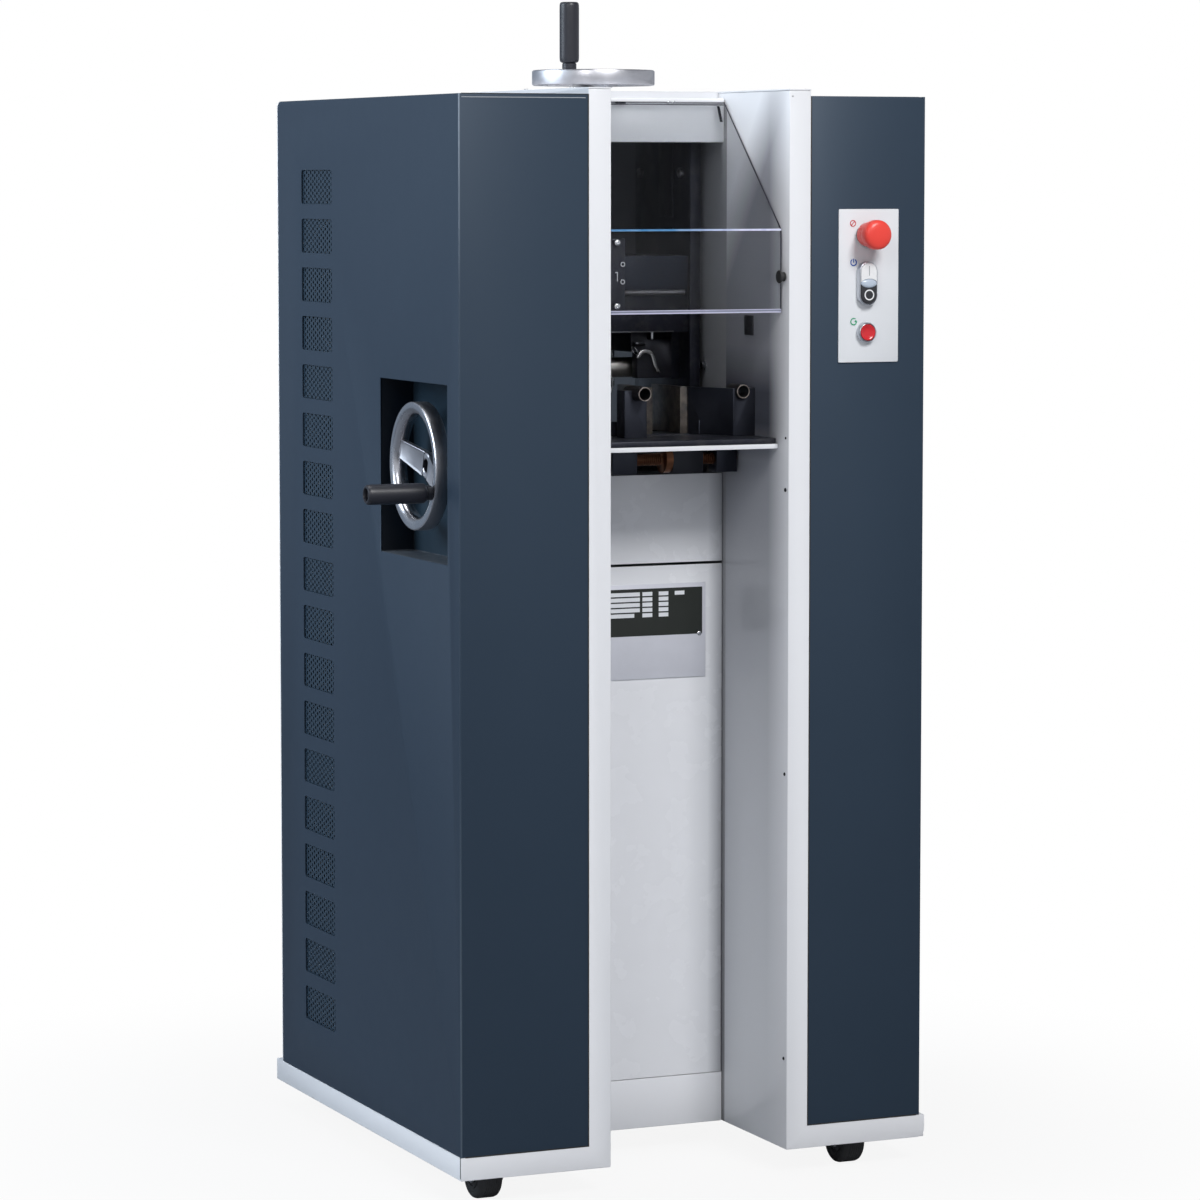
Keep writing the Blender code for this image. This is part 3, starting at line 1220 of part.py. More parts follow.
def build_casters(machine):
    """Two fixed casters under the front and two swivelling ones at the back."""
    for name, x, y, trail in (
        ("front_left", FRONT_LEFT_INSET, FRONT_CASTER_Y, 0.0),
        ("front_right", FRONT_CASTER_RIGHT, FRONT_CASTER_Y, 0.0),
        ("rear_left", REAR_CASTER_INSET, REAR_CASTER_Y, CASTER_TRAIL),
        ("rear_right", REAR_CASTER_RIGHT, REAR_CASTER_Y, CASTER_TRAIL),
    ):
        swivel = (x, y, PAN_UNDERSIDE)
        machine.keep(caster_fork(x, y, trail), name + "_fork", "zinc_steel", swivel)
        axle = (x, y + trail, CASTER_AXLE_Z)
        half = CASTER_WHEEL_WIDTH / 2
        radius = CASTER_WHEEL_RADIUS
        bore = CASTER_AXLE_RADIUS + RUNNING
        wheel = turned(
            [
                (bore, -half), (radius * 0.55, -half), (radius - 0.005, -half + 0.0015),
                (radius, -half + 0.006), (radius, half - 0.006),
                (radius - 0.005, half - 0.0015), (radius * 0.55, half), (bore, half),
            ],
            "x", axle, CASTER_WHEEL_STEPS,
        )
        machine.keep(wheel, name + "_wheel", "black_rubber", axle, smooth=True)


def main():
    clear_scene()
    machine = Machine()
    build_base(machine)
    build_column_walls(machine)
    build_covers(machine)
    build_throat_panels(machine)
    build_top_cover(machine)
    build_rear_cover(machine)
    build_table(machine)
    build_frame(machine)
    build_carriage(machine)
    build_rollers(machine)
    build_gearmotor(machine)
    build_hand_wheels(machine)
    build_jaws(machine)
    build_guard(machine)
    build_controls(machine)
    build_casters(machine)


main()
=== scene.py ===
import json
import math

import bpy
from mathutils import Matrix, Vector

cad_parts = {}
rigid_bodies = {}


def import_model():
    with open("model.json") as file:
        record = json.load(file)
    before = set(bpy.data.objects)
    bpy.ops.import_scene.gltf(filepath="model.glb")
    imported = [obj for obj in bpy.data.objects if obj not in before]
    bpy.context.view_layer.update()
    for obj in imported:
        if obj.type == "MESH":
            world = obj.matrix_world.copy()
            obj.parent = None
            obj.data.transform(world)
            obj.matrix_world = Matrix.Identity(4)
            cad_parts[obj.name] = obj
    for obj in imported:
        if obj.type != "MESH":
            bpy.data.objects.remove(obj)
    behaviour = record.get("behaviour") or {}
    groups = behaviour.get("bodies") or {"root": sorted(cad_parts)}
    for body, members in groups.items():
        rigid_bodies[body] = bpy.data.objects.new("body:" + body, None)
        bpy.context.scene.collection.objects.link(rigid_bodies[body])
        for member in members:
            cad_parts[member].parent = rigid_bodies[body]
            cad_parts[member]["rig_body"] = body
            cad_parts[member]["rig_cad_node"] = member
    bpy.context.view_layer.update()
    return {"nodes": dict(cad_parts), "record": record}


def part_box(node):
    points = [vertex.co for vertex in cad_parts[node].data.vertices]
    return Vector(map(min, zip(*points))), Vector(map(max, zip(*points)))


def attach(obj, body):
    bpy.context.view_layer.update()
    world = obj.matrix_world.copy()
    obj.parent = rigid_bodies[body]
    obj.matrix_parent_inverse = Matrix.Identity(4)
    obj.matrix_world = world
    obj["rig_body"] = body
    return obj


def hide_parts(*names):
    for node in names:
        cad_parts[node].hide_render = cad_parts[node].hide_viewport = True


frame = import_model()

# Camera: the photograph's viewpoint in the machine's frame, angles in degrees
CAMERA_PLACE = (-2.31475, -5.40255, 1.2983)
CAMERA_TURN = 23.63
CAMERA_PITCH = 4.713
CAMERA_LENS = 131.65
CAMERA_SHIFT = -0.05

# Measures are in metres, from the left side sheet, the front plane and the floor
SIDE_ORIGIN = -0.28575
FRONT_ORIGIN = -0.32695

SHEET = 0.002
THROAT_RIGHT = 0.4571
TOP_WHEEL = (0.3450, 0.3730, 1.4430)
TOP_WHEEL_TURN = 220.3
SIDE_WHEEL = (0.0, 0.1620, 0.9305)
SIDE_WHEEL_TURN = 73.5
SIDE_GRIP_TURN = 204.4
GRIP_CIRCLE = 0.0725
CONTROL_X = 0.5656
CONTROL_FACE = -0.0026

SAME_PLACE = 0.00001
QUARTER = math.pi / 2
TURNS = {
    "z": (0, 0, 0), "-z": (math.pi, 0, 0), "x": (0, QUARTER, 0), "-x": (0, -QUARTER, 0),
    "y": (-QUARTER, 0, 0), "-y": (QUARTER, 0, 0),
}


def spot(across, depth, height):
    """A point given by its distances from the side sheet, the front and the floor."""
    return Vector((across + SIDE_ORIGIN, depth + FRONT_ORIGIN, height))


# ---- working by hand

def clear_selection():
    """Leave edit mode and select nothing."""
    active = bpy.context.view_layer.objects.active
    if active and active.mode != "OBJECT":
        close_edit()
    bpy.ops.object.select_all(action="DESELECT")


def alone(piece):
    """Select one piece and nothing else."""
    clear_selection()
    piece.select_set(True)
    bpy.context.view_layer.objects.active = piece


def fresh(name):
    """Name the primitive that was just added."""
    piece = bpy.context.object
    piece.name = name
    piece.data.name = name
    return piece


def settle(piece):
    """Put the place, turn and scale of a piece into its mesh."""
    alone(piece)
    bpy.ops.object.transform_apply(location=True, rotation=True, scale=True)
    return piece


def modify(piece, kind, **values):
    """Add a modifier and apply it."""
    alone(piece)
    modifier = piece.modifiers.new(kind, kind)
    for key, value in values.items():
        setattr(modifier, key, value)
    bpy.ops.object.modifier_apply(modifier=modifier.name)
    return piece


def round_edges(piece, width, steps=2, angle=35):
    """Round every edge that is sharper than an angle."""
    return modify(
        piece, "BEVEL", width=width, segments=steps, limit_method="ANGLE",
        angle_limit=math.radians(angle), harden_normals=False,
    )


def repeat(piece, count, step, **merging):
    """Repeat a piece in a row, a fixed step apart."""
    return modify(
        piece, "ARRAY", count=count, use_relative_offset=False, use_constant_offset=True,
        constant_offset_displace=step, **merging,
    )


def smooth(piece, angle=32):
    """Shade a piece smooth, but for edges sharper than an angle."""
    alone(piece)
    bpy.ops.object.shade_smooth_by_angle(angle=math.radians(angle))
    return piece


def edit_by(kind):
    """Choose whether corners, edges or faces are picked when a piece is open."""
    kinds = ("corner", "edge", "face")
    bpy.context.tool_settings.mesh_select_mode = [kind == each for each in kinds]


def open_edit():
    bpy.ops.object.mode_set(mode="EDIT")


def close_edit():
    bpy.ops.object.mode_set(mode="OBJECT")


def open_whole(piece):
    """Open a piece for editing with all of it picked."""
    alone(piece)
    open_edit()
    bpy.ops.mesh.select_all(action="SELECT")


def pick_faces(piece, test):
    """Open a piece for editing with the faces chosen by their middle and normal."""
    alone(piece)
    edit_by("face")
    for part in (*piece.data.vertices, *piece.data.edges):
        part.select = False
    for face in piece.data.polygons:
        face.select = test(face.center, face.normal)
    open_edit()


def pick_edges(piece, test):
    """Open a piece for editing with the edges chosen by their two ends."""
    alone(piece)
    edit_by("edge")
    mesh = piece.data
    for part in (*mesh.vertices, *mesh.polygons):
        part.select = False
    for edge in mesh.edges:
        edge.select = test(*(mesh.vertices[index].co for index in edge.vertices))
    open_edit()


def both_at(first, second, place):
    """Whether two coordinates lie at one place."""
    return abs(first - place) < SAME_PLACE and abs(second - place) < SAME_PLACE


def extrude(*shift):
    """Draw what is picked out along a shift."""
    bpy.ops.mesh.extrude_region_move(TRANSFORM_OT_translate={"value": shift})


def bevel(width, steps):
    """Round the picked edges and close the piece."""
    bpy.ops.mesh.bevel(offset=width, segments=steps)
    close_edit()


def face_outwards(piece):
    """Turn all faces of a piece outwards."""
    open_whole(piece)
    bpy.ops.mesh.normals_make_consistent(inside=False)
    close_edit()


def cube(name, middle, size):
    """A plain block by its middle and its size."""
    clear_selection()
    bpy.ops.mesh.primitive_cube_add(size=1, location=middle, scale=size)
    return settle(fresh(name))


def plane(name, middle, size, turn):
    """A flat rectangle by its middle, its size and its turn."""
    clear_selection()
    bpy.ops.mesh.primitive_plane_add(size=1, location=middle, rotation=turn)
    piece = fresh(name)
    piece.scale = (*size, 1)
    return settle(piece)


def block(name, low, high, edge=0.0, steps=2):
    """A block between two corners in the machine's measures, with its edges rounded."""
    first, last = spot(*low), spot(*high)
    piece = cube(name, (first + last) / 2, last - first)
    if edge:
        round_edges(piece, edge, steps)
    return piece


def lathe(name, place, axis, profile, sides=32, closed=False, spin=0.0):
    """Turn a piece: a disc or ring drawn out along its axis and resized at each step."""
    clear_selection()
    radius, height = profile[0]
    bpy.ops.mesh.primitive_circle_add(
        vertices=sides, radius=radius, fill_type="NOTHING" if closed else "NGON",
        location=(0, 0, height), rotation=(0, 0, spin),
    )
    piece = fresh(name)
    edit_by("edge" if closed else "face")
    open_edit()
    bpy.ops.mesh.select_all(action="SELECT")
    steps = list(profile[1:]) + ([profile[0]] if closed else [])
    for next_radius, next_height in steps:
        extrude(0, 0, next_height - height)
        factor = next_radius / radius
        if abs(factor - 1) > 1e-6:
            bpy.ops.transform.resize(value=(factor, factor, 1))
        radius, height = next_radius, next_height
    bpy.ops.mesh.select_all(action="SELECT")
    bpy.ops.mesh.remove_doubles(threshold=0.000002)
    bpy.ops.mesh.normals_make_consistent(inside=False)
    close_edit()
    settle(piece)
    piece.rotation_euler = TURNS[axis]
    piece.location = place
    return settle(piece)


def cut(piece, tool):
    """Take a tool's shape out of a piece."""
    modify(piece, "BOOLEAN", operation="DIFFERENCE", solver="EXACT", object=tool)
    bpy.data.objects.remove(tool)
    return piece


def join(name, pieces):
    """Make one piece of several that are fixed together."""
    alone(pieces[0])
    for piece in pieces[1:]:
        piece.select_set(True)
    bpy.ops.object.join()
    return fresh(name)


def twin(piece, name, shift=(0, 0, 0)):
    """A copy of a piece with a mesh of its own, moved to its place."""
    copy = piece.copy()
    copy.data = piece.data.copy()
    copy.name = name
    bpy.context.scene.collection.objects.link(copy)
    copy.location = copy.location + Vector(shift)
    return settle(copy)


def from_solid(node, name, edge=0.0):
    """A merged copy of a solid, with broken edges like real sheet and plate."""
    source = frame["nodes"][node]
    piece = source.copy()
    piece.data = source.data.copy()
    piece.parent = None
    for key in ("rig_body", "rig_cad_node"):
        if key in piece:
            del piece[key]
    piece.name = name
    piece.data.name = name
    bpy.context.scene.collection.objects.link(piece)
    open_whole(piece)
    bpy.ops.mesh.remove_doubles(threshold=SAME_PLACE)
    bpy.ops.mesh.dissolve_limited(angle_limit=math.radians(1))
    close_edit()
    return round_edges(piece, edge) if edge else piece


BODY_OF = {
    node: body
    for body, nodes in frame["record"]["behaviour"]["bodies"].items() for node in nodes
}
SLOT_OF = {part["node"]: part["material_slot"] for part in frame["record"]["subparts"]}


def finish(piece, surface, *nodes, body=None, slot=None, angle=32):
    """Give a piece its finish and its body, and hide the solids it stands for."""
    piece.data.materials.clear()
    piece.data.materials.append(surface)
    for face in piece.data.polygons:
        face.material_index = 0
    smooth(piece, angle)
    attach(piece, body or BODY_OF[nodes[0]])
    if nodes:
        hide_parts(*nodes)
    return piece


def add(piece, surface, body="cabinet", slot=None):
    """Finish a piece that stands for no solid."""
    return finish(piece, surface, body=body, slot=slot or ADDED_SLOT[surface])


# ---- shader nodes

def blank(name):
    """A new material, its node tree and its shader."""
    material = bpy.data.materials.new(name)
    material.use_nodes = True
    tree = material.node_tree
    return material, tree, tree.nodes["Principled BSDF"]


def feed(tree, socket, value):
    """Set a socket to a number or a colour, or link it to an output."""
    if isinstance(value, tuple):
        socket.default_value = (*value, 1)
    elif isinstance(value, (int, float)):
        socket.default_value = value
    else:
        tree.links.new(value, socket)


def axes(tree, space="Object"):
    """The X, Y and Z outputs of the shaded place."""
    place = tree.nodes.new("ShaderNodeTexCoord")
    split = tree.nodes.new("ShaderNodeSeparateXYZ")
    tree.links.new(place.outputs[space], split.inputs[0])
    return split.outputs


def noise(tree, scale, detail, stretch=None, roughness=0.5):
    """Noise over the object's own coordinates, stretched for a grain."""
    texture = tree.nodes.new("ShaderNodeTexNoise")
    for socket, value in (("Scale", scale), ("Detail", detail), ("Roughness", roughness)):
        texture.inputs[socket].default_value = value
    source = tree.nodes.new("ShaderNodeTexCoord").outputs["Object"]
    if stretch:
        mapping = tree.nodes.new("ShaderNodeMapping")
        mapping.inputs["Scale"].default_value = stretch
        tree.links.new(source, mapping.inputs["Vector"])
        source = mapping.outputs["Vector"]
    tree.links.new(source, texture.inputs["Vector"])
    return texture.outputs["Fac"]


def ranged(tree, source, low, high, start=0.3, end=0.7, curve="LINEAR"):
    """Go from low to high while the source goes from start to end."""
    node = tree.nodes.new("ShaderNodeMapRange")
    node.interpolation_type = curve
    limits = {"From Min": start, "From Max": end, "To Min": low, "To Max": high}
    for socket, value in limits.items():
        node.inputs[socket].default_value = value
    tree.links.new(source, node.inputs["Value"])
    return node.outputs["Result"]


def rise(tree, source, start, end):
    """Go from 0 to 1 while the source goes from start to end."""
    return ranged(tree, source, 0.0, 1.0, start, end)


def fall(tree, source, start, end):
    """Go from 1 to 0 while the source goes from start to end."""
    return ranged(tree, source, 1.0, 0.0, start, end)


def arithmetic(tree, kind, *values):
    """One step of arithmetic with outputs or numbers."""
    node = tree.nodes.new("ShaderNodeMath")
    node.operation = kind
    for socket, value in zip(node.inputs, values):
        feed(tree, socket, value)
    return node.outputs[0]


def blended(tree, factor, first, second):
    """Mix two colours by a factor."""
    node = tree.nodes.new("ShaderNodeMix")
    node.data_type = "RGBA"
    tree.links.new(factor, node.inputs["Factor"])
    colours = [socket for socket in node.inputs if socket.type == "RGBA"]
    feed(tree, colours[0], first)
    feed(tree, colours[1], second)
    return [socket for socket in node.outputs if socket.type == "RGBA"][0]


def clouded(tree, first, second, scale=9.0, detail=3.0, stretch=None, roughness=0.5):
    """Mix two colours in clouds."""
    clouds = rise(tree, noise(tree, scale, detail, stretch, roughness), 0.3, 0.7)
    return blended(tree, clouds, first, second)


def bumped(tree, shader, source, strength, distance):
    """Raise the surface by a source."""
    node = tree.nodes.new("ShaderNodeBump")
    node.inputs["Strength"].default_value = strength
    node.inputs["Distance"].default_value = distance
    tree.links.new(source, node.inputs["Height"])
    tree.links.new(node.outputs["Normal"], shader.inputs["Normal"])


def mixed(tree, share, first, second, target):
    """Mix two shaders into a target's surface."""
    mix = tree.nodes.new("ShaderNodeMixShader")
    for socket, value in zip(mix.inputs, (share, first.outputs[0], second.outputs[0])):
        tree.links.new(value, socket)
    tree.links.new(mix.outputs[0], tree.nodes[target].inputs["Surface"])


# ---- finishes

COAT_CLOUDS = 9.0
METAL_CLOUDS = 18.0


def scaled(colour, factor):
    return tuple(min(1.0, channel * factor) for channel in colour)


def coated(tree, shader, tone, roughness, spread, peel, metallic=0.0, gloss=None,
           wear_scale=28.0, peel_scale=650.0):
    """What every coat has: a tone, uneven roughness, a sheen and orange peel."""
    wear = ranged(tree, noise(tree, wear_scale, 4.0), roughness - spread, roughness + spread)
    feed(tree, shader.inputs["Base Color"], tone)
    feed(tree, shader.inputs["Roughness"], wear)
    shader.inputs["Metallic"].default_value = metallic
    if gloss is not None:
        shader.inputs["Specular IOR Level"].default_value = gloss
    bumped(tree, shader, noise(tree, peel_scale, 1.0), peel, 0.0004)


def coat(name, colour, roughness, spread, shade, peel, peel_scale=650.0,
         metallic=0.0, gloss=None):
    """Powder coat or moulded plastic in one colour with faint clouds."""
    material, tree, shader = blank(name)
    tone = clouded(tree, scaled(colour, 1 - shade), scaled(colour, 1 + shade), COAT_CLOUDS)
    coated(
        tree, shader, tone, roughness, spread, peel, metallic, gloss,
        COAT_CLOUDS * 3.1, peel_scale,
    )
    return material


def metal(name, colour, roughness, grain, grain_scale, grain_depth, spread, shade,
          metallic=1.0, stain=None, stain_amount=0.5):
    """Machined or polished metal: directional grain, stains and uneven polish."""
    material, tree, shader = blank(name)
    tone = clouded(
        tree, scaled(colour, 1 - shade), scaled(colour, 1 + shade), METAL_CLOUDS, 4.0,
        roughness=0.65,
    )
    if stain:
        marks = noise(tree, METAL_CLOUDS * 2.3, 6.0, roughness=0.7)
        tone = blended(tree, ranged(tree, marks, 0.0, stain_amount, 0.5, 0.72), tone, stain)
    polish = noise(tree, METAL_CLOUDS * 1.7, 5.0)
    uneven = ranged(tree, polish, roughness - spread, roughness + spread)
    feed(tree, shader.inputs["Base Color"], tone)
    feed(tree, shader.inputs["Roughness"], uneven)
    shader.inputs["Metallic"].default_value = metallic
    bumped(tree, shader, noise(tree, grain_scale, 3.0, grain), grain_depth, 0.0003)
    return material


def zoned_coat(name, tone_of, roughness, spread, peel, **sheen):
    """A coat whose tone depends on the place, as tone_of makes it of x, y and z."""
    material, tree, shader = blank(name)
    coated(tree, shader, tone_of(tree, *axes(tree)), roughness, spread, peel, **sheen)
    return material


def wall_painted_shade_tone(tree, x, y, z):
    """White of the right wall with painted shade: greyer up towards the table, darkest just above
    it, grey behind the beam's plane and deeper in, white at the front edge and at the top.
    """
    white = clouded(tree, (0.785, 0.795, 0.825), (0.795, 0.805, 0.835))
    # Painted shade: greyer from the foot up towards the table.
    shade_tone = blended(tree, rise(tree, z, 0.15, 0.92), (0.70, 0.72, 0.75), (0.32, 0.33, 0.36))
    # Painted shadow: darker above the table, near black in a band just over it.
    throat = rise(tree, z, 0.93, 0.98)
    shade_tone = blended(tree, throat, shade_tone, (0.27, 0.275, 0.305))
    band = arithmetic(tree, "MULTIPLY", throat, fall(tree, z, 1.02, 1.08))
    shade_tone = blended(tree, band, shade_tone, (0.075, 0.08, 0.10))
    # Painted light: white above a slanting line at the top.
    slope = 1.4
    slant = arithmetic(tree, "MULTIPLY_ADD", y, slope, z)
    start = 1.465 + slope * FRONT_ORIGIN
    shade_tone = blended(tree, rise(tree, slant, start - 0.05, start + 0.06), shade_tone, white)
    # Painted shade behind the beam's plane, below the deck.
    rear = rise(tree, y, FRONT_ORIGIN + 0.1890, FRONT_ORIGIN + 0.1900)
    corner = arithmetic(tree, "MULTIPLY", rear, fall(tree, z, 1.3940, 1.3950))
    shade_tone = blended(tree, corner, shade_tone, (0.30, 0.305, 0.320))
    # Painted shade: white at the front edge, shaded further in.
    deeper_shade = rise(tree, y, FRONT_ORIGIN + 0.006, FRONT_ORIGIN + 0.060)
    return blended(tree, deeper_shade, white, shade_tone)


def cover_tone_painted_highlight(tree, x, y, z):
    """Dark tone of the left cover, with a painted highlight along its folded front corner, dim at
    the foot and paler towards the top.
    """
    dark = clouded(tree, (0.0250, 0.0440, 0.0710), (0.0260, 0.0450, 0.0725))
    across = fall(tree, x, SIDE_ORIGIN + 0.0012, SIDE_ORIGIN + 0.0022)
    front = fall(tree, y, FRONT_ORIGIN + 0.0008, FRONT_ORIGIN + 0.0014)
    # Painted highlight along the front corner: dimmer at the foot, paler towards the top.
    foot = fall(tree, z, 0.20, 0.60)
    pale = blended(tree, foot, (0.034, 0.055, 0.084), (0.085, 0.115, 0.15))
    pale = blended(tree, rise(tree, z, 1.15, 1.38), pale, (0.16, 0.20, 0.25))
    return blended(tree, arithmetic(tree, "MULTIPLY", across, front), dark, pale)


def pocket_painted_shade_tone(tree, x, y, z):
    """Dark tone of the wheel recess: painted shade near black at its rear; its floor paler, partly
    bare wear and partly painted light from above.
    """
    dark = clouded(tree, (0.017, 0.033, 0.050), (0.021, 0.039, 0.058), 25, 4.0)
    rear = rise(tree, y, FRONT_ORIGIN + 0.2766, FRONT_ORIGIN + 0.2776)
    # Floor paler: partly bare wear, partly painted light from above.
    worn_and_lit_floor = clouded(tree, (0.045, 0.058, 0.074), (0.10, 0.11, 0.125), 90, 5.0)
    # Painted shade: the rear wall near black.
    tone = blended(tree, rear, dark, (0.001, 0.004, 0.009))
    return blended(tree, fall(tree, z, 0.8128, 0.8140), tone, worn_and_lit_floor)


def panel_painted_shade_tone(tree, x, y, z):
    """White of the recess panels, with painted shade where they turn into the right wall."""
    edge = THROAT_RIGHT + SIDE_ORIGIN
    white = clouded(tree, (0.785, 0.795, 0.825), (0.795, 0.805, 0.835))
    # Painted shade: darker over the last 22 mm towards the right wall.
    return blended(tree, rise(tree, x, edge - 0.022, edge), white, (0.36, 0.37, 0.40))


def worn_jaw():
    """Blackened jaw whose channel behind the lead-in is rubbed to brown bare steel."""
    material, tree, shader = blank("worn_jaw")
    black = clouded(tree, (0.022, 0.025, 0.036), (0.034, 0.037, 0.050), 25, 4.0)
    brown = clouded(tree, (0.10, 0.085, 0.072), (0.20, 0.175, 0.150), 25, 4.0)
    back = rise(tree, axes(tree)["Y"], FRONT_ORIGIN + 0.1722, FRONT_ORIGIN + 0.1742)
    patches = ranged(tree, noise(tree, 60, 5.0, roughness=0.7), 0.35, 1.0, 0.35, 0.6)
    rubbed = arithmetic(tree, "MULTIPLY", back, patches)
    feed(tree, shader.inputs["Base Color"], blended(tree, rubbed, black, brown))
    feed(tree, shader.inputs["Roughness"], ranged(tree, noise(tree, 70, 4.0), 0.30, 0.46))
    shader.inputs["Metallic"].default_value = 0.7
    bumped(tree, shader, noise(tree, 260, 3.0, (1, 0.1, 1)), 0.12, 0.0003)
    return material


def clear_sheet():
    """Clear bent sheet with a faint blue body and scuffs."""
    material, tree, shader = blank("clear_sheet")
    scuffs = ranged(tree, noise(tree, 40, 6.0, (1, 1, 0.3), 0.7), 0.02, 0.08, 0.4, 0.75)
    for socket, value in (
        ("Base Color", (0.87, 0.88, 0.90)), ("Roughness", scuffs), ("IOR", 1.22),
        ("Transmission Weight", 1.0), ("Specular IOR Level", 0.25),
    ):
        feed(tree, shader.inputs[socket], value)
    return material


def bend_line():
    """The sheet's bend gathers light: clear blue at its left, pale lilac at its right."""
    material, tree, shader = blank("bend_line")
    streaks = (90, 4.0, (1, 0.2, 0.2))
    blue = clouded(tree, (0.03, 0.16, 0.36), (0.10, 0.24, 0.44), *streaks)
    pale = clouded(tree, (0.42, 0.44, 0.62), (0.62, 0.63, 0.78), *streaks)
    along = rise(tree, axes(tree)["X"], SIDE_ORIGIN + 0.300, SIDE_ORIGIN + 0.400)
    feed(tree, shader.inputs["Base Color"], blended(tree, along, blue, pale))
    shader.inputs["Roughness"].default_value = 0.22
    return material


EVEN = (1, 1, 1)
ALONG_X = (0.1, 1, 1)

# Coats: name, colour, roughness and its spread, shade of the clouds, peel and its scale
DARK_COAT = coat(
    "dark_coat", (0.0255, 0.0445, 0.0715), 0.42, 0.01, 0.015, 0.05, metallic=0.15, gloss=0.35,
)
SCREEN_COAT = coat("screen_coat", (0.022, 0.042, 0.066), 0.40, 0.02, 0.02, 0.06, gloss=0.32)
WHITE_COAT = coat("white_coat", (0.79, 0.80, 0.83), 0.24, 0.006, 0.006, 0.03, gloss=0.45)
# A brighter copy of the white coat: painted light on the portal beam.
LIT_BEAM_COAT = coat("lit_beam_coat", (0.90, 0.91, 0.92), 0.24, 0.006, 0.006, 0.03, gloss=0.45)
WALL_COAT = zoned_coat("wall_coat", wall_painted_shade_tone, 0.25, 0.01, 0.03, gloss=0.4)
PANEL_COAT = zoned_coat("panel_coat", panel_painted_shade_tone, 0.27, 0.01, 0.03, gloss=0.4)
COVER_COAT = zoned_coat("cover_coat", cover_tone_painted_highlight, 0.42, 0.01, 0.05, metallic=0.15, gloss=0.35)
POCKET_COAT = zoned_coat("pocket_coat", pocket_painted_shade_tone, 0.34, 0.02, 0.05, gloss=0.15)
BLACK_PLASTIC = coat("black_plastic", (0.028, 0.029, 0.033), 0.42, 0.05, 0.08, 0.25, 900)
GRIP_PLASTIC = coat("grip_plastic", (0.016, 0.017, 0.024), 0.40, 0.05, 0.08, 0.30, 1100)
RED_PLASTIC = coat("red_plastic", (0.84, 0.062, 0.045), 0.30, 0.04, 0.03, 0.10, 900)
WHITE_PLASTIC = coat("white_plastic", (0.84, 0.85, 0.86), 0.28, 0.04, 0.02, 0.06, 900)
GREY_PLASTIC = coat("grey_plastic", (0.40, 0.42, 0.46), 0.30, 0.04, 0.04, 0.08, 900)
FIELD_BLACK = coat("field_black", (0.013, 0.016, 0.013), 0.46, 0.03, 0.04, 0.03, 900)
MOTOR_GREY = coat("motor_grey", (0.20, 0.23, 0.27), 0.5, 0.06, 0.08, 0.5, 300)
RUBBER = coat("rubber", (0.022, 0.022, 0.023), 0.62, 0.08, 0.2, 0.4, 500)
LENS_RED = coat("lens_red", (0.62, 0.022, 0.030), 0.20, 0.04, 0.05, 0.05, 900)
LENS_GREY = coat("lens_grey", (0.50, 0.58, 0.68), 0.22, 0.03, 0.03, 0.04, 900)
PLATE_WHITE = coat("plate_white", (0.74, 0.76, 0.79), 0.42, 0.03, 0.01, 0.04, 900, gloss=0.3)
MARK_RED = coat("mark_red", (0.58, 0.03, 0.04), 0.45, 0.03, 0.03, 0.02, 900)
MARK_BLUE = coat("mark_blue", (0.02, 0.10, 0.42), 0.45, 0.03, 0.03, 0.02, 900)
MARK_GREEN = coat("mark_green", (0.03, 0.34, 0.17), 0.45, 0.03, 0.03, 0.02, 900)
MARK_GREY = coat("mark_grey", (0.32, 0.34, 0.37), 0.45, 0.03, 0.03, 0.02, 900)
# Painted light on the clear sheet's edges: highlight, haze and shade.
PAINTED_EDGE_HIGHLIGHT = coat("sheet_edge_painted_highlight", (0.56, 0.56, 0.72), 0.25, 0.03, 0.05, 0.02, 900)
PAINTED_EDGE_HAZE = coat("sheet_edge_painted_haze", (0.22, 0.23, 0.31), 0.25, 0.03, 0.10, 0.02, 900)
PAINTED_EDGE_SHADE = coat("sheet_edge_painted_shade", (0.085, 0.080, 0.115), 0.25, 0.03, 0.10, 0.02, 900)

# Metals: name, colour, roughness, grain, its scale and depth, spread, shade, metallic
SILVER_FRAME = metal("silver_frame", (0.58, 0.60, 0.64), 0.30, EVEN, 300, 0.04, 0.05, 0.04)
POLISHED = metal("polished_aluminium", (0.58, 0.58, 0.61), 0.26, EVEN, 500, 0.05, 0.06, 0.04)
CAST_FACE = metal("cast_face", (0.50, 0.50, 0.53), 0.38, EVEN, 420, 0.35, 0.08, 0.08)
BRONZE = metal("bronze", (0.19, 0.085, 0.045), 0.38, (1, 0.1, 0.1), 300, 0.15, 0.08, 0.15)
SILVER = metal("silver_plate", (0.68, 0.69, 0.75), 0.48, ALONG_X, 380, 0.05, 0.04, 0.03, 0.25)
ZINC = metal("zinc", (0.55, 0.56, 0.57), 0.36, EVEN, 160, 0.08, 0.08, 0.12)
BLACK_STEEL = metal(
    "black_steel", (0.022, 0.024, 0.035), 0.36, (1, 1, 0.15), 260, 0.10, 0.08, 0.25, 0.55,
    stain=(0.075, 0.072, 0.072), stain_amount=0.6,
)
DARK_STEEL = metal(
    "dark_steel", (0.014, 0.015, 0.021), 0.42, (1, 1, 0.2), 240, 0.10, 0.08, 0.2, 0.45,
)
BLUED_STEEL = metal(
    "blued_steel", (0.020, 0.026, 0.040), 0.34, ALONG_X, 300, 0.08, 0.05, 0.15, 0.4,
)
DULL_STEEL = metal("dull_steel", (0.16, 0.16, 0.17), 0.36, ALONG_X, 300, 0.10, 0.08, 0.2, 0.8)
GROUND_STEEL = metal("ground_steel", (0.42, 0.41, 0.41), 0.28, ALONG_X, 420, 0.10, 0.07, 0.10)
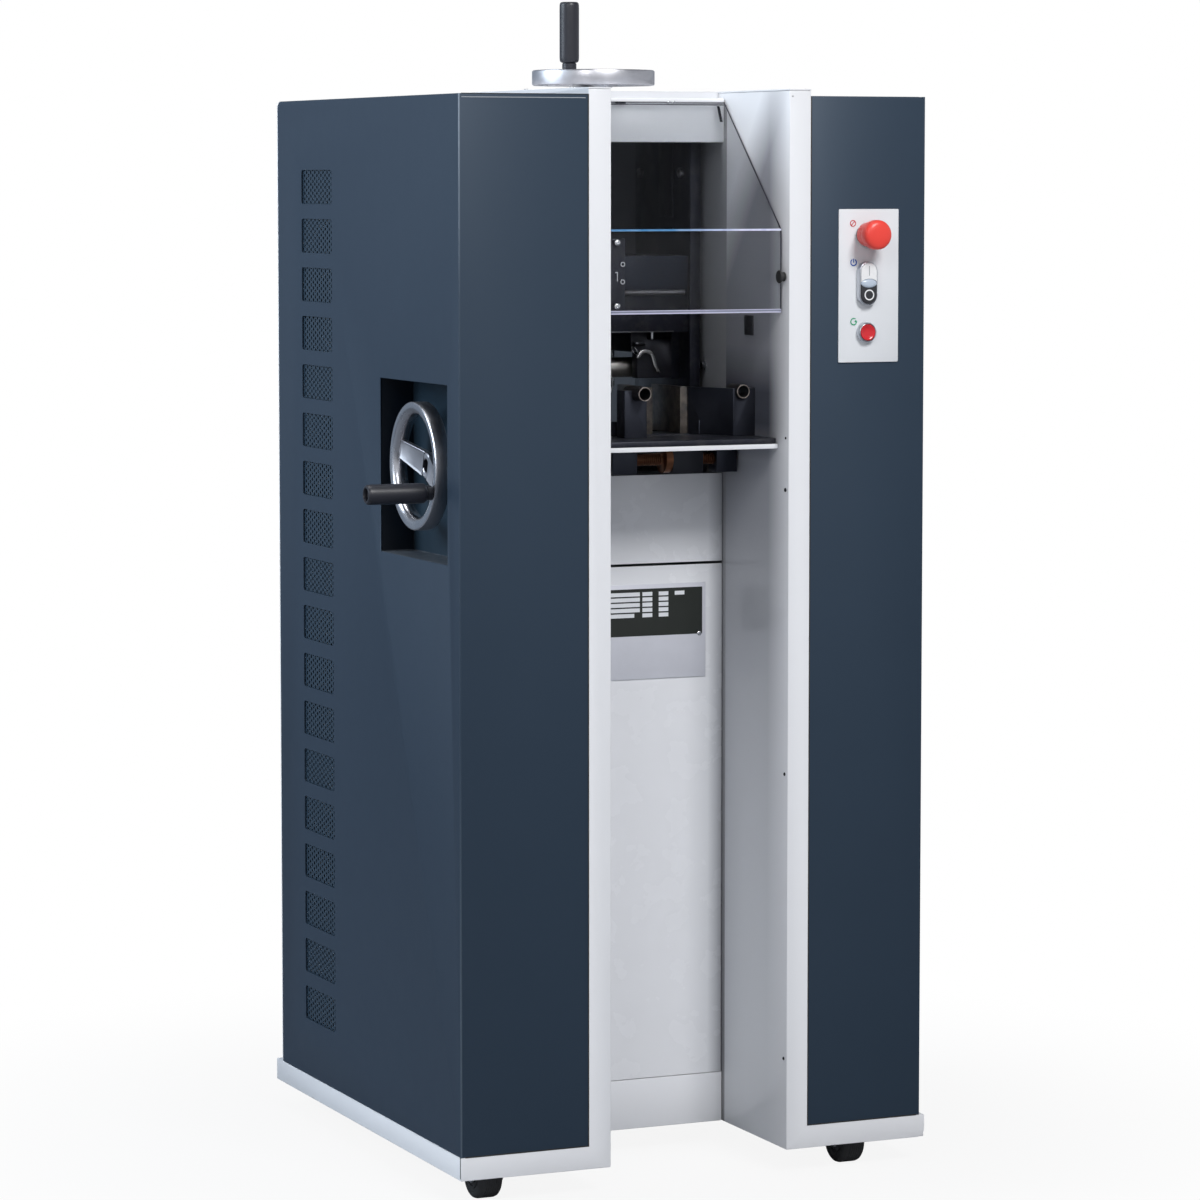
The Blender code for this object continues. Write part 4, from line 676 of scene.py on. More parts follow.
BRIGHT_STEEL = metal("bright_steel", (0.66, 0.67, 0.69), 0.24, EVEN, 300, 0.06, 0.06, 0.08)
ROLLER_STEEL = metal("roller_steel", (0.50, 0.48, 0.46), 0.34, ALONG_X, 420, 0.04, 0.02, 0.05)
BLACK_TUBE = metal("black_tube", (0.014, 0.013, 0.014), 0.40, EVEN, 300, 0.08, 0.06, 0.2, 0.4)
TUBE_RIM = metal("tube_rim", (0.36, 0.31, 0.28), 0.36, EVEN, 300, 0.08, 0.06, 0.2, 0.6)
JAW_STEEL = worn_jaw()
CLEAR = clear_sheet()
BEND_LINE = bend_line()

DEFAULT_FINISH = {
    "dark_powder_coat": DARK_COAT, "white_powder_coat": WHITE_COAT, "bronze": BRONZE,
    "polished_aluminium": POLISHED, "blackened_steel": BLACK_STEEL, "zinc_steel": ZINC,
    "ground_steel": GROUND_STEEL, "black_plastic": BLACK_PLASTIC, "clear_sheet": CLEAR,
    "red_plastic": RED_PLASTIC, "white_plastic": WHITE_PLASTIC, "grey_plastic": GREY_PLASTIC,
    "silver_plate": SILVER, "motor_grey": MOTOR_GREY, "black_rubber": RUBBER,
}
# The slot of each finish, for pieces that stand for no solid
ADDED_SLOT = {
    BLACK_STEEL: "blackened_steel", DARK_STEEL: "blackened_steel",
    BLUED_STEEL: "blackened_steel", BRIGHT_STEEL: "ground_steel",
    GROUND_STEEL: "ground_steel", DULL_STEEL: "ground_steel", ZINC: "zinc_steel",
    RUBBER: "black_rubber", FIELD_BLACK: "black_plastic", PLATE_WHITE: "white_plastic",
    WHITE_PLASTIC: "white_plastic", LENS_GREY: "grey_plastic", MARK_RED: "red_plastic",
    MARK_BLUE: "grey_plastic", MARK_GREEN: "grey_plastic", MARK_GREY: "grey_plastic",
    PAINTED_EDGE_SHADE: "clear_sheet", SCREEN_COAT: "dark_powder_coat",
    WHITE_COAT: "white_powder_coat",
}
for node, solid in frame["nodes"].items():
    solid.data.materials.clear()
    solid.data.materials.append(DEFAULT_FINISH[SLOT_OF[node]])

# ---- cabinet

# Pieces that keep their solid's shape: solid, name, width of the broken edges, finish
PLAIN_PIECES = (
    ("base_frame", "plinth", 0.0012, WHITE_COAT),
    ("left_inner_wall", "left_post", 0.0009, WHITE_COAT),
    ("right_inner_wall", "right_post", 0.0009, WALL_COAT),
    ("kick_plate", "toe_plate", 0.0009, WHITE_COAT),
    ("top_beam", "portal_beam", 0.0012, LIT_BEAM_COAT),
    ("top_cover", "deck", 0.0009, WHITE_COAT),
    ("rear_cover", "back_panel", 0.0009, WHITE_COAT),
    ("wheel_pocket", "wheel_recess", 0.0006, POCKET_COAT),
    ("left_cover", "left_shell", 0.0009, COVER_COAT),
    ("right_cover", "right_shell", 0.0009, DARK_COAT),
    ("table_plate", "table", 0.0012, WHITE_COAT),
    ("table_liner", "table_pad", 0.0010, BLACK_STEEL),
    ("control_plate", "control_face", 0.0004, PLATE_WHITE),
    ("nameplate", "blank_plate", 0.0003, SILVER),
    ("guard_bracket", "bracket", 0.0006, BLACK_STEEL),
    ("frame_plate_left", "upright_left", 0.0008, BLACK_STEEL),
    ("frame_plate_right", "upright_right", 0.0008, BLACK_STEEL),
    ("carriage", "carriage_block", 0.0009, BLACK_STEEL),
    ("knife_blade", "knife", 0.0005, BRIGHT_STEEL),
    ("lower_roller", "driven_roller", 0.0006, GROUND_STEEL),
    ("roller_bearing_left", "bearing_block_left", 0.0008, DARK_STEEL),
    ("roller_bearing_right", "bearing_block_right", 0.0008, DARK_STEEL),
    ("left_jaw", "left_guide_jaw", 0.0006, JAW_STEEL),
    ("right_jaw", "right_guide_jaw", 0.0006, JAW_STEEL),
    ("table_rail", "screw_rail", 0.0008, DARK_STEEL),
    ("safety_switch", "limit_switch", 0.0004, BLACK_PLASTIC),
    ("top_bridge", "spindle_bridge", 0.0010, BLACK_STEEL),
    ("feed_spindle", "spindle", 0.0005, GROUND_STEEL),
)
for node, name, edge, surface in PLAIN_PIECES:
    finish(from_solid(node, name, edge), surface, node)


def bent_panel(node, name):
    """Front panel folded back at both upright edges."""
    low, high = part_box(node)
    middle = ((low.x + high.x) / 2, low.y, (low.z + high.z) / 2)
    panel = plane(name, middle, (high.x - low.x, high.z - low.z), (QUARTER, 0, 0))
    for side in (low.x, high.x):
        pick_edges(panel, lambda a, b: both_at(a.x, b.x, side))
        extrude(0, 0.0150, 0)
        close_edit()
    pick_edges(panel, lambda a, b: abs(a.z - b.z) > 0.01 and both_at(a.y, b.y, low.y))
    bevel(0.0028, 4)
    face_outwards(panel)
    front = [face.normal.y for face in panel.data.polygons if abs(face.normal.y) > 0.9]
    modify(panel, "SOLIDIFY", thickness=0.0015, offset=-1 if front[0] < 0 else 1)
    finish(panel, PANEL_COAT, node)


bent_panel("lower_front_panel", "lower_panel")
bent_panel("upper_front_panel", "upper_panel")

# ---- hand wheels

OUTER_RIM = 0.0815
HUB_BORE = 0.0089


def hand_wheel(node, name, place, axis, angle, hub_length):
    """Polished rim, two dished cast spokes and a hub with a sunk bore."""
    rim = lathe(name, (0, 0, 0), "z", [
        (0.0807, 0.0), (0.0820, -0.0007), (0.0826, -0.0022), (0.0826, -0.0183), (0.0820, -0.0198),
        (0.0807, -0.0205), (0.0711, -0.0205), (0.0693, -0.0197), (0.0681, -0.0180),
        (0.0669, -0.0145), (0.0665, -0.0105), (0.0668, -0.0072), (0.0679, -0.0042),
        (0.0699, -0.0018), (0.0726, -0.0005), (0.0751, 0.0),
    ], 96, closed=True)
    spoke = cube("spoke", (0.0375, 0, -0.0105), (0.060, 0.0245, 0.0075))
    pick_faces(spoke, lambda middle, normal: normal.x < -0.9)
    bpy.ops.transform.resize(value=(1, 1.36, 1.25))
    bpy.ops.transform.translate(value=(0, 0, -0.0115))
    close_edit()
    pick_faces(spoke, lambda middle, normal: normal.z > 0.5)
    bpy.ops.mesh.inset(thickness=0.0028, depth=-0.0012)
    close_edit()
    round_edges(spoke, 0.0011, 3, 25)
    other = twin(spoke, "spoke_two")
    other.rotation_euler = (0, 0, math.pi)
    settle(other)
    end = -hub_length
    hub = lathe("hub", (0, 0, 0), "z", [
        (0.0150, end - 0.018), (0.0166, end - 0.0168), (0.0170, end - 0.0160),
        (0.0170, -0.0205), (0.0166, -0.0190), (0.0152, -0.0180), (0.0102, -0.0180),
        (0.0092, -0.0186), (0.0088, -0.0196), (0.0088, end * 0.45 - 0.0180),
    ], 40)
    for casting in (spoke, other, hub):
        casting.data.materials.append(CAST_FACE)
    rim.data.materials.append(POLISHED)
    wheel = join(name, [rim, spoke, other, hub])
    surfaces = []
    for face in wheel.data.polygons:
        reach = math.hypot(face.center.x, face.center.y)
        cast = wheel.data.materials[face.material_index] == CAST_FACE or reach > OUTER_RIM
        # Faces inside the hub's bore get dark steel as painted shade in the hole.
        surfaces.append(2 if reach < HUB_BORE else 1 if cast else 0)
    wheel.rotation_euler = (0, 0, math.radians(angle))
    settle(wheel)
    wheel.rotation_euler = TURNS[axis]
    wheel.location = place
    settle(wheel)
    finish(wheel, POLISHED, node, angle=28)
    wheel.data.materials.append(CAST_FACE)
    wheel.data.materials.append(DARK_STEEL)
    wheel.data.polygons.foreach_set("material_index", surfaces)


def revolving_grip(node, name, place, axis):
    """Grip with a stepped collar, a soft shoulder and a sunk bolt in its end."""
    body = lathe(name, place, axis, [
        (0.0090, 0.0004), (0.0095, 0.0009), (0.0095, 0.0072), (0.0086, 0.0077),
        (0.0086, 0.0084), (0.0096, 0.0086), (0.0114, 0.0093), (0.0124, 0.0106),
        (0.0128, 0.0126), (0.0130, 0.0160), (0.0130, 0.0800), (0.0129, 0.0845),
        (0.0125, 0.0868), (0.0114, 0.0884), (0.0099, 0.0889), (0.0089, 0.0887),
        (0.0083, 0.0878), (0.0080, 0.0850), (0.0080, 0.0800),
    ], 48)
    finish(body, GRIP_PLASTIC, node)
    bolt = lathe(name + "_bolt", place, axis, [
        (0.0058, 0.0801), (0.0058, 0.0838), (0.0052, 0.0846), (0.0033, 0.0846),
        (0.0030, 0.0843), (0.0030, 0.0822),
    ], 24)
    add(bolt, BLACK_STEEL, BODY_OF[node])


place = spot(*TOP_WHEEL)
turn = math.radians(TOP_WHEEL_TURN)
hand_wheel("top_handwheel", "top_wheel", place, "z", TOP_WHEEL_TURN, 0.0112)
grip_place = place + GRIP_CIRCLE * Vector((math.cos(turn), math.sin(turn), 0))
revolving_grip("top_wheel_grip", "top_grip", grip_place, "z")

place = spot(*SIDE_WHEEL)
turn = math.radians(SIDE_GRIP_TURN)
hand_wheel("side_handwheel", "side_wheel", place, "-x", SIDE_WHEEL_TURN, 0.026)
grip_place = place + GRIP_CIRCLE * Vector((0, math.cos(turn), math.sin(turn)))
revolving_grip("side_wheel_grip", "side_grip", grip_place, "-x")

# ---- vents

VENT_FRONT, VENT_BACK = 0.4577, 0.5757
VENT_BOTTOM, VENT_TOP = 0.1420, 1.3094
VENT_COUNT = 18
VENT_BAR = 0.020
HOLE_PITCH = 0.008
HOLE_RADIUS = 0.0026
HOLE_COLUMNS = 8
SCREEN_EDGE = 0.008


def vent_windows():
    """Rounded windows punched one above the other in the left side sheet."""
    pitch = (VENT_TOP - VENT_BOTTOM + VENT_BAR) / VENT_COUNT
    low = (-0.01, VENT_FRONT, VENT_TOP - pitch + VENT_BAR)
    first = block("window", low, (SHEET + 0.004, VENT_BACK, VENT_TOP))
    pick_edges(first, lambda a, b: abs(a.x - b.x) > 0.005)
    bevel(0.004, 4)
    return repeat(first, VENT_COUNT, (0, 0, -pitch))


def vent_screen():
    """Perforated sheet behind the windows, punched in staggered columns."""
    half = HOLE_PITCH / 2
    clear_selection()
    bpy.ops.mesh.primitive_circle_add(vertices=8, radius=HOLE_RADIUS, fill_type="NOTHING")
    hole = fresh("vent_screen")
    edit_by("corner")
    open_whole(hole)
    extrude(0, 0, 0)
    bpy.ops.transform.resize(value=(half / HOLE_RADIUS, half / HOLE_RADIUS, 1))
    close_edit()
    for corner in hole.data.vertices:
        diagonal = abs(abs(corner.co.x) - abs(corner.co.y)) < 1e-4
        corner.select = diagonal and corner.co.length > half * 0.9
    for part in (*hole.data.edges, *hole.data.polygons):
        part.select = False
    open_edit()
    bpy.ops.transform.resize(value=(math.sqrt(2), math.sqrt(2), 1))
    close_edit()
    rows = int((VENT_TOP - VENT_BOTTOM + 1.5 * SCREEN_EDGE) / HOLE_PITCH)
    screen = join("vent_screen", [hole, twin(hole, "shifted", (HOLE_PITCH, half, 0))])
    merging = {"use_merge_vertices": True, "merge_threshold": 0.0001}
    repeat(screen, rows, (0, HOLE_PITCH, 0), **merging)
    repeat(screen, HOLE_COLUMNS, (2 * HOLE_PITCH, 0, 0), **merging)
    modify(screen, "SOLIDIFY", thickness=0.0010, offset=0)
    face_outwards(screen)
    screen.rotation_euler = (QUARTER, 0, -QUARTER)
    settle(screen)
    depths = [corner.co.y for corner in screen.data.vertices]
    bottom = min(corner.co.z for corner in screen.data.vertices)
    middle = spot(SHEET + 0.0009, (VENT_FRONT + VENT_BACK) / 2, VENT_BOTTOM - SCREEN_EDGE)
    middle.y -= (min(depths) + max(depths)) / 2
    middle.z -= bottom
    screen.location = middle
    add(settle(screen), SCREEN_COAT)


shell = bpy.data.objects["left_shell"]
smooth(cut(shell, vent_windows()))
vent_screen()

# ---- controls

ESTOP = (CONTROL_X, CONTROL_FACE, 1.2257)
TWIN_Z = 1.1628
RESET = (CONTROL_X, CONTROL_FACE, 1.0995)
MARK_X = 0.5470
MARK_FACE = CONTROL_FACE - 0.00005
MARK_LIFT = 0.00025


def emergency_stop():
    """Mushroom head on a stepped skirt that hides the black collar."""
    place = spot(*ESTOP)
    collar = lathe("stop_collar", place, "-y", [
        (0.0137, 0.0003), (0.0139, 0.0010), (0.0139, 0.0090), (0.0138, 0.0105),
        (0.0134, 0.0110),
    ], 40)
    finish(collar, BLACK_PLASTIC, "estop_collar")
    skirt = lathe("stop_skirt", place, "-y", [
        (0.0146, 0.0044), (0.0153, 0.0047), (0.0157, 0.0056), (0.0161, 0.0108),
        (0.0158, 0.0111), (0.0158, 0.0117), (0.0166, 0.0121), (0.0171, 0.0178),
        (0.0168, 0.0182), (0.0168, 0.0188), (0.0176, 0.0192), (0.0179, 0.0236),
        (0.0142, 0.0238), (0.0142, 0.0044),
    ], 48, closed=True)
    finish(skirt, RED_PLASTIC, "estop_stem")
    head = lathe("stop_head", place, "-y", [
        (0.0172, 0.0240), (0.0184, 0.0243), (0.0190, 0.0252), (0.0191, 0.0270),
        (0.0191, 0.0335), (0.0189, 0.0351), (0.0183, 0.0368), (0.0172, 0.0383),
        (0.0156, 0.0394), (0.0134, 0.0402), (0.0104, 0.0408), (0.0070, 0.0412),
        (0.0035, 0.0414),
    ], 64)
    finish(head, RED_PLASTIC, "estop_head", angle=50)


def stadium(name, width, height, depth, back, edge, steps=3):
    """A block with half-round ends and a rounded front, in the middle of the twin button."""
    front = CONTROL_FACE - back - depth
    low = (CONTROL_X - width / 2, front, TWIN_Z - height / 2)
    high = (CONTROL_X + width / 2, front + depth, TWIN_Z + height / 2)
    piece = block(name, low, high)
    pick_edges(piece, lambda a, b: abs(a.y - b.y) > depth * 0.5)
    bevel(width / 2 * 0.995, 12)
    pick_edges(piece, lambda a, b: both_at(a.y, b.y, front + FRONT_ORIGIN))
    bevel(edge, steps)
    return piece


def flattened(name, profile, depth):
    """A turned piece pressed flat in height, in the middle of the twin button."""
    piece = lathe(name, (0, 0, 0), "-y", profile, 40)
    piece.scale = (1, 1, 0.52)
    piece.location = spot(CONTROL_X, CONTROL_FACE - depth, TWIN_Z)
    return settle(piece)


def twin_button():
    """Silver bezel, white upper key, black lower key and a pale lens between them."""
    bezel = stadium("twin_frame", 0.0264, 0.0564, 0.0088, 0.0002, 0.0012)
    cut(bezel, stadium("well", 0.0234, 0.0534, 0.0100, 0.0010, 0.0003, 1))
    finish(bezel, SILVER_FRAME, "twin_bezel")
    add(flattened("twin_lens", [
        (0.0113, -0.0022), (0.0113, 0.0058), (0.0108, 0.0068), (0.0091, 0.0077),
        (0.0064, 0.0083), (0.0032, 0.0086),
    ], 0.0035), LENS_GREY)
    for node, name, side, surface in (
        ("start_button", "start_key", 1, WHITE_PLASTIC),
        ("stop_button", "stop_key", -1, BLACK_PLASTIC),
    ):
        key = stadium(name, 0.0228, 0.0528, 0.0068, 0.0042, 0.0012)
        low, high = sorted((TWIN_Z - side * 0.040, TWIN_Z + side * 0.0006))
        cut(key, block("tool", (CONTROL_X - 0.02, -0.03, low), (CONTROL_X + 0.02, 0.01, high)))
        cut(key, flattened("bowl", [(0.0118, 0.0), (0.0118, 0.012)], 0.0030))
        finish(key, surface, node)


def reset_key():
    """Turned silver ring round a dished red key."""
    place = spot(*RESET)
    ring = lathe("reset_ring", place, "-y", [
        (0.0131, 0.0003), (0.0131, 0.0052), (0.0129, 0.0062), (0.0124, 0.0070),
        (0.0117, 0.0078), (0.0112, 0.0081), (0.0109, 0.0078), (0.0108, 0.0072),
        (0.0108, 0.0018),
    ], 56)
    finish(ring, SILVER_FRAME, "reset_bezel")
    key = lathe("reset_red", place, "-y", [
        (0.0103, 0.0050), (0.0104, 0.0078), (0.0102, 0.0085), (0.0097, 0.0087),
        (0.0089, 0.0083), (0.0076, 0.0076), (0.0056, 0.0070), (0.0028, 0.0067),
    ], 48)
    finish(key, LENS_RED, "reset_button", angle=50)


def flat_ring(name, place, radius, width):
    """A printed ring."""
    inner = radius - width
    return lathe(name, place, "-y", [
        (inner, 0.0), (radius, 0.0), (radius, MARK_LIFT), (inner, MARK_LIFT),
    ], 40, closed=True)


def bar(name, place, length, width, turn=0.0):
    """A short printed stroke, turned about its middle."""
    piece = cube(name, (0, 0, 0), (width, MARK_LIFT, length))
    piece.rotation_euler = (0, math.radians(turn), 0)
    piece.location = place - Vector((0, MARK_LIFT / 2, 0))
    return settle(piece)


def broken_ring(place, width, low, high):
    """A printed ring with a gap between two corners."""
    ring = flat_ring("ring", place, 0.0048, width)
    return cut(ring, block("gap", (low[0], -0.01, low[1]), (high[0], 0.01, high[1])))


def printed_marks():
    """Plain stroke and ring marks on the keys and beside the controls."""
    face = spot(CONTROL_X, CONTROL_FACE - 0.0110, TWIN_Z)
    stroke = bar("start_stroke", face + Vector((0, 0, 0.0163)), 0.0125, 0.0009)
    add(stroke, MARK_GREY, "start_button")
    ring = flat_ring("stop_circle", face + Vector((0, 0, -0.0148)), 0.0070, 0.0016)
    add(ring, WHITE_PLASTIC, "stop_button")
    place = spot(MARK_X, MARK_FACE, 1.2402)
    ring = flat_ring("ring", place, 0.0043, 0.0010)
    add(join("stop_sign", [ring, bar("bar", place, 0.0070, 0.0010, 45)]), MARK_RED)
    place = spot(MARK_X + 0.0011, MARK_FACE, 1.1898)
    ring = broken_ring(place, 0.0015, (MARK_X - 0.0008, 1.1910), (MARK_X + 0.0030, 1.1960))
    stroke = bar("bar", place + Vector((0, 0, 0.0024)), 0.0052, 0.0014)
    add(join("power_sign", [ring, stroke]), MARK_BLUE)
    place = spot(MARK_X + 0.0016, MARK_FACE, 1.1134)
    ring = broken_ring(place, 0.0014, (MARK_X + 0.0016, 1.1140), (MARK_X + 0.0075, 1.1168))
    head = bar("bar", place + Vector((0.0030, 0, 0.0004)), 0.0026, 0.0026, 45)
    add(join("reset_sign", [ring, head]), MARK_GREEN)


emergency_stop()
twin_button()
reset_key()
printed_marks()

# ---- screws

def button_screw(name, place, axis, radius):
    """Domed screw head with a hexagon socket."""
    height = radius * 0.58
    head = lathe(name, place, axis, [
        (radius * 0.96, 0.0), (radius, height * 0.15), (radius * 0.93, height * 0.5),
        (radius * 0.76, height * 0.82), (radius * 0.52, height), (radius * 0.42, height),
    ], 20)
    bore = radius * 0.34
    return cut(head, lathe("socket", place, axis, [(bore, height * 0.35), (bore, height * 1.5)], 6))


def button_screws(name, axis, radius, surface, places, body="cabinet"):
    """Domed screws of one kind, numbered in the order of their places."""
    for number, place in enumerate(places):
        screw = button_screw("%s_%d" % (name, number), spot(*place), axis, radius)
        add(screw, surface, body)


def cap_screw(name, place, axis, radius, height):
    """Straight cap head with a hexagon socket."""
    head = lathe(name, place, axis, [
        (radius, 0.0), (radius, height * 0.86), (radius * 0.93, height), (radius * 0.60, height),
    ], 32)
    bore = radius * 0.50
    return cut(head, lathe("socket", place, axis, [(bore, height * 0.4), (bore, height * 1.5)], 6))


def hex_bolt(name, place, axis, radius, height):
    """Hexagon head with a chamfered top on a round washer."""
    head = lathe(name, place, axis, [
        (radius, 0.0012), (radius, height * 0.8), (radius * 0.86, height),
        (radius * 0.4, height),
    ], 6, spin=0.3)
    washer = lathe("washer", place, axis, [
        (radius * 1.18, 0.0), (radius * 1.22, 0.0003), (radius * 1.22, 0.0011),
        (radius * 1.16, 0.0013),
    ], 28)
    return join(name, [head, washer])


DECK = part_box("top_cover")[1].z
BACK_PLACES = [
    (across, 0.6720, height)
    for across in (0.022, 0.6305) for height in (0.16, 0.48, 0.80, 1.12, 1.38)
]
GUARD_PLACES = ((0.3742, 0.1926, 1.3975), (0.3815, 0.1926, 1.3975))
BRACKET_PLACES = ((0.2245, 0.0200, 1.2170), (0.2242, 0.0200, 1.1365))
DECK_PLACES = ((0.1830, 0.0700, DECK), (0.1830, 0.2200, DECK))
button_screws("guard_screw", "-y", 0.0022, BRIGHT_STEEL, GUARD_PLACES, "guard")
button_screws("bracket_screw", "-y", 0.0042, BRIGHT_STEEL, BRACKET_PLACES, "guard")
button_screws("back_screw", "y", 0.0045, ZINC, BACK_PLACES)
button_screws("deck_screw", "z", 0.0030, ZINC, DECK_PLACES)
add(button_screw("strip_screw", spot(0.4612, 0.0, 1.4030), "-y", 0.0013), ZINC)
for number, (height, radius) in enumerate(
    ((0.9640, 0.0018), (0.8970, 0.0028), (0.5270, 0.0024), (0.1530, 0.0024))
):
    place = spot(THROAT_RIGHT, 0.0085, height)
    add(button_screw("wall_screw_%d" % number, place, "-x", radius), DARK_STEEL)
add(hex_bolt("wall_bolt", spot(THROAT_RIGHT, 0.2560, 1.0484), "-x", 0.0050, 0.0052), BRIGHT_STEEL)

# ---- guard

EDGE_BANDS = (0.0014, 0.0038, 0.0046)


def guard_sheet():
    """Clear sheet bent once and hung by its rolled top edge; its polished edges and bend carry
    painted highlights and dark lines.
    """
    low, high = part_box("guard_screen")
    hinge_low, hinge_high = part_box("guard_hinge_rod")
    hinge = (hinge_low + hinge_high) / 2
    bend = spot(0, 0.0220, 1.2320)
    middle = ((low.x + high.x) / 2, bend.y, (bend.z + low.z) / 2)
    size = (high.x - low.x, bend.z - low.z)
    sheet = plane("guard_sheet", middle, size, (QUARTER, 0, 0))
    pick_edges(sheet, lambda a, b: both_at(a.z, b.z, bend.z))
    slope = Vector((0, hinge.y - bend.y, hinge.z - bend.z))
    extrude(*(slope - slope.normalized() * 0.0040))
    close_edit()
    pick_edges(sheet, lambda a, b: both_at(a.z, b.z, bend.z))
    bevel(0.0050, 8)
    for height in EDGE_BANDS:
        open_whole(sheet)
        bpy.ops.mesh.bisect(plane_co=(0, 0, low.z + height), plane_no=(0, 0, 1))
        close_edit()
    face_outwards(sheet)
    modify(sheet, "SOLIDIFY", thickness=0.0040, offset=0)
    finish(sheet, CLEAR, "guard_screen", angle=30)
    # Opaque colours on the sheet are painted light: highlight bands and haze at the bottom edge,
    # dark sides and top, a highlight on the bend.
    light, dark, painted_haze, bright_bend = 1, 2, 3, 4
    for surface in (PAINTED_EDGE_HIGHLIGHT, PAINTED_EDGE_SHADE, PAINTED_EDGE_HAZE, BEND_LINE):
        sheet.data.materials.append(surface)
    rim, haze_start, haze_end = EDGE_BANDS
    for face in sheet.data.polygons:
        middle, normal = face.center, face.normal
        height = middle.z - low.z
        slanted = abs(normal.y) > 0.5 and abs(normal.z) > 0.5
        if abs(normal.x) > 0.9:
            face.material_index = dark
        elif height < rim or haze_start < height < haze_end:
            face.material_index = light
        elif height < haze_start and normal.y < 0:
            face.material_index = painted_haze
        elif abs(middle.z - bend.z) < 0.0012 and normal.y < 0:
            face.material_index = bright_bend
        elif middle.z > hinge.z - 0.006 and slanted and face.area < 0.0015:
            face.material_index = dark
    length = high.x - low.x - 0.0012
    sleeve = lathe("guard_roll", (low.x + 0.0006, hinge.y, hinge.z), "x", [
        (0.0041, 0.0), (0.0041, length), (0.0026, length), (0.0026, 0.0),
    ], 24, closed=True)
    add(sleeve, WHITE_COAT, "guard")
    left, right = low.x - SIDE_ORIGIN, high.x - SIDE_ORIGIN
    # Painted dark line along the sheet's top edge.
    line = block("guard_top_edge", (left, 0.1900, 1.3936), (right, 0.1912, 1.3948))
    add(line, PAINTED_EDGE_SHADE, "guard")


def guard_fittings():
    """Notch and clip of the clear sheet, its bracket's eyelets and hook, the side buffer."""
    top = 1.3925
    notch = block("guard_notch", (0.4425, 0.1893, 1.3712), (0.4462, 0.1901, top))
    for corner in notch.data.vertices:
        corner.co.x += (top - corner.co.z) * 0.22
    add(notch, DARK_STEEL, "guard")
    clip = block("guard_clip", (0.2980, 0.1915, 1.3952), (0.3124, 0.2010, 1.3972), 0.0004)
    add(clip, DARK_STEEL, "guard")
    for number, (across, height) in enumerate(((0.2318, 1.1895), (0.2316, 1.1672))):
        eyelet = lathe("bracket_eyelet_%d" % number, spot(across, 0.0200, height), "-y", [
            (0.0020, 0.0), (0.0032, 0.0), (0.0031, 0.0008), (0.0021, 0.0008),
        ], 24, closed=True)
        add(eyelet, BRIGHT_STEEL, "guard")
    tab = block("tab", (0.2212, 0.0192, 1.1785), (0.2246, 0.0200, 1.1798))
    post = block("post", (0.2236, 0.0190, 1.1680), (0.2246, 0.0200, 1.1790))
    add(join("bracket_hook", [tab, post]), BRIGHT_STEEL, "guard")
    low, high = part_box("guard_buffer")
    place = (low.x, (low.y + high.y) / 2, (low.z + high.z) / 2)
    buffer = lathe("side_buffer", place, "x", [
        (0.0078, 0.0), (0.0084, 0.0006), (0.0085, 0.0014), (0.0083, 0.0024), (0.0056, 0.0030),
        (0.0054, 0.0060), (0.0062, 0.0068), (0.0062, 0.0080), (0.0056, 0.0085),
    ], 32)
    finish(buffer, RUBBER, "guard_buffer")


guard_sheet()
guard_fittings()

# ---- feed mechanism

def guide_strips():
    """Guide strips and cap screws on the mechanism's uprights, above the carriage."""
    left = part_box("frame_plate_left")[1].x - SIDE_ORIGIN
    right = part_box("frame_plate_right")[0].x - SIDE_ORIGIN
    for side, face, axis, low, high in (
        ("left", left, "x", left, left + 0.0025), ("right", right, "-x", right - 0.0025, right),
    ):
        strip = block("guide_" + side, (low, 0.3030, 1.2460), (high, 0.3474, 1.3530), 0.0006)
        add(strip, DARK_STEEL)
        for number, depth in enumerate((0.2780, 0.4090)):
            name = "upright_screw_%s_%d" % (side, number)
            screw = cap_screw(name, spot(face, depth, 1.3050), axis, 0.0065, 0.0045)
            add(screw, GROUND_STEEL)


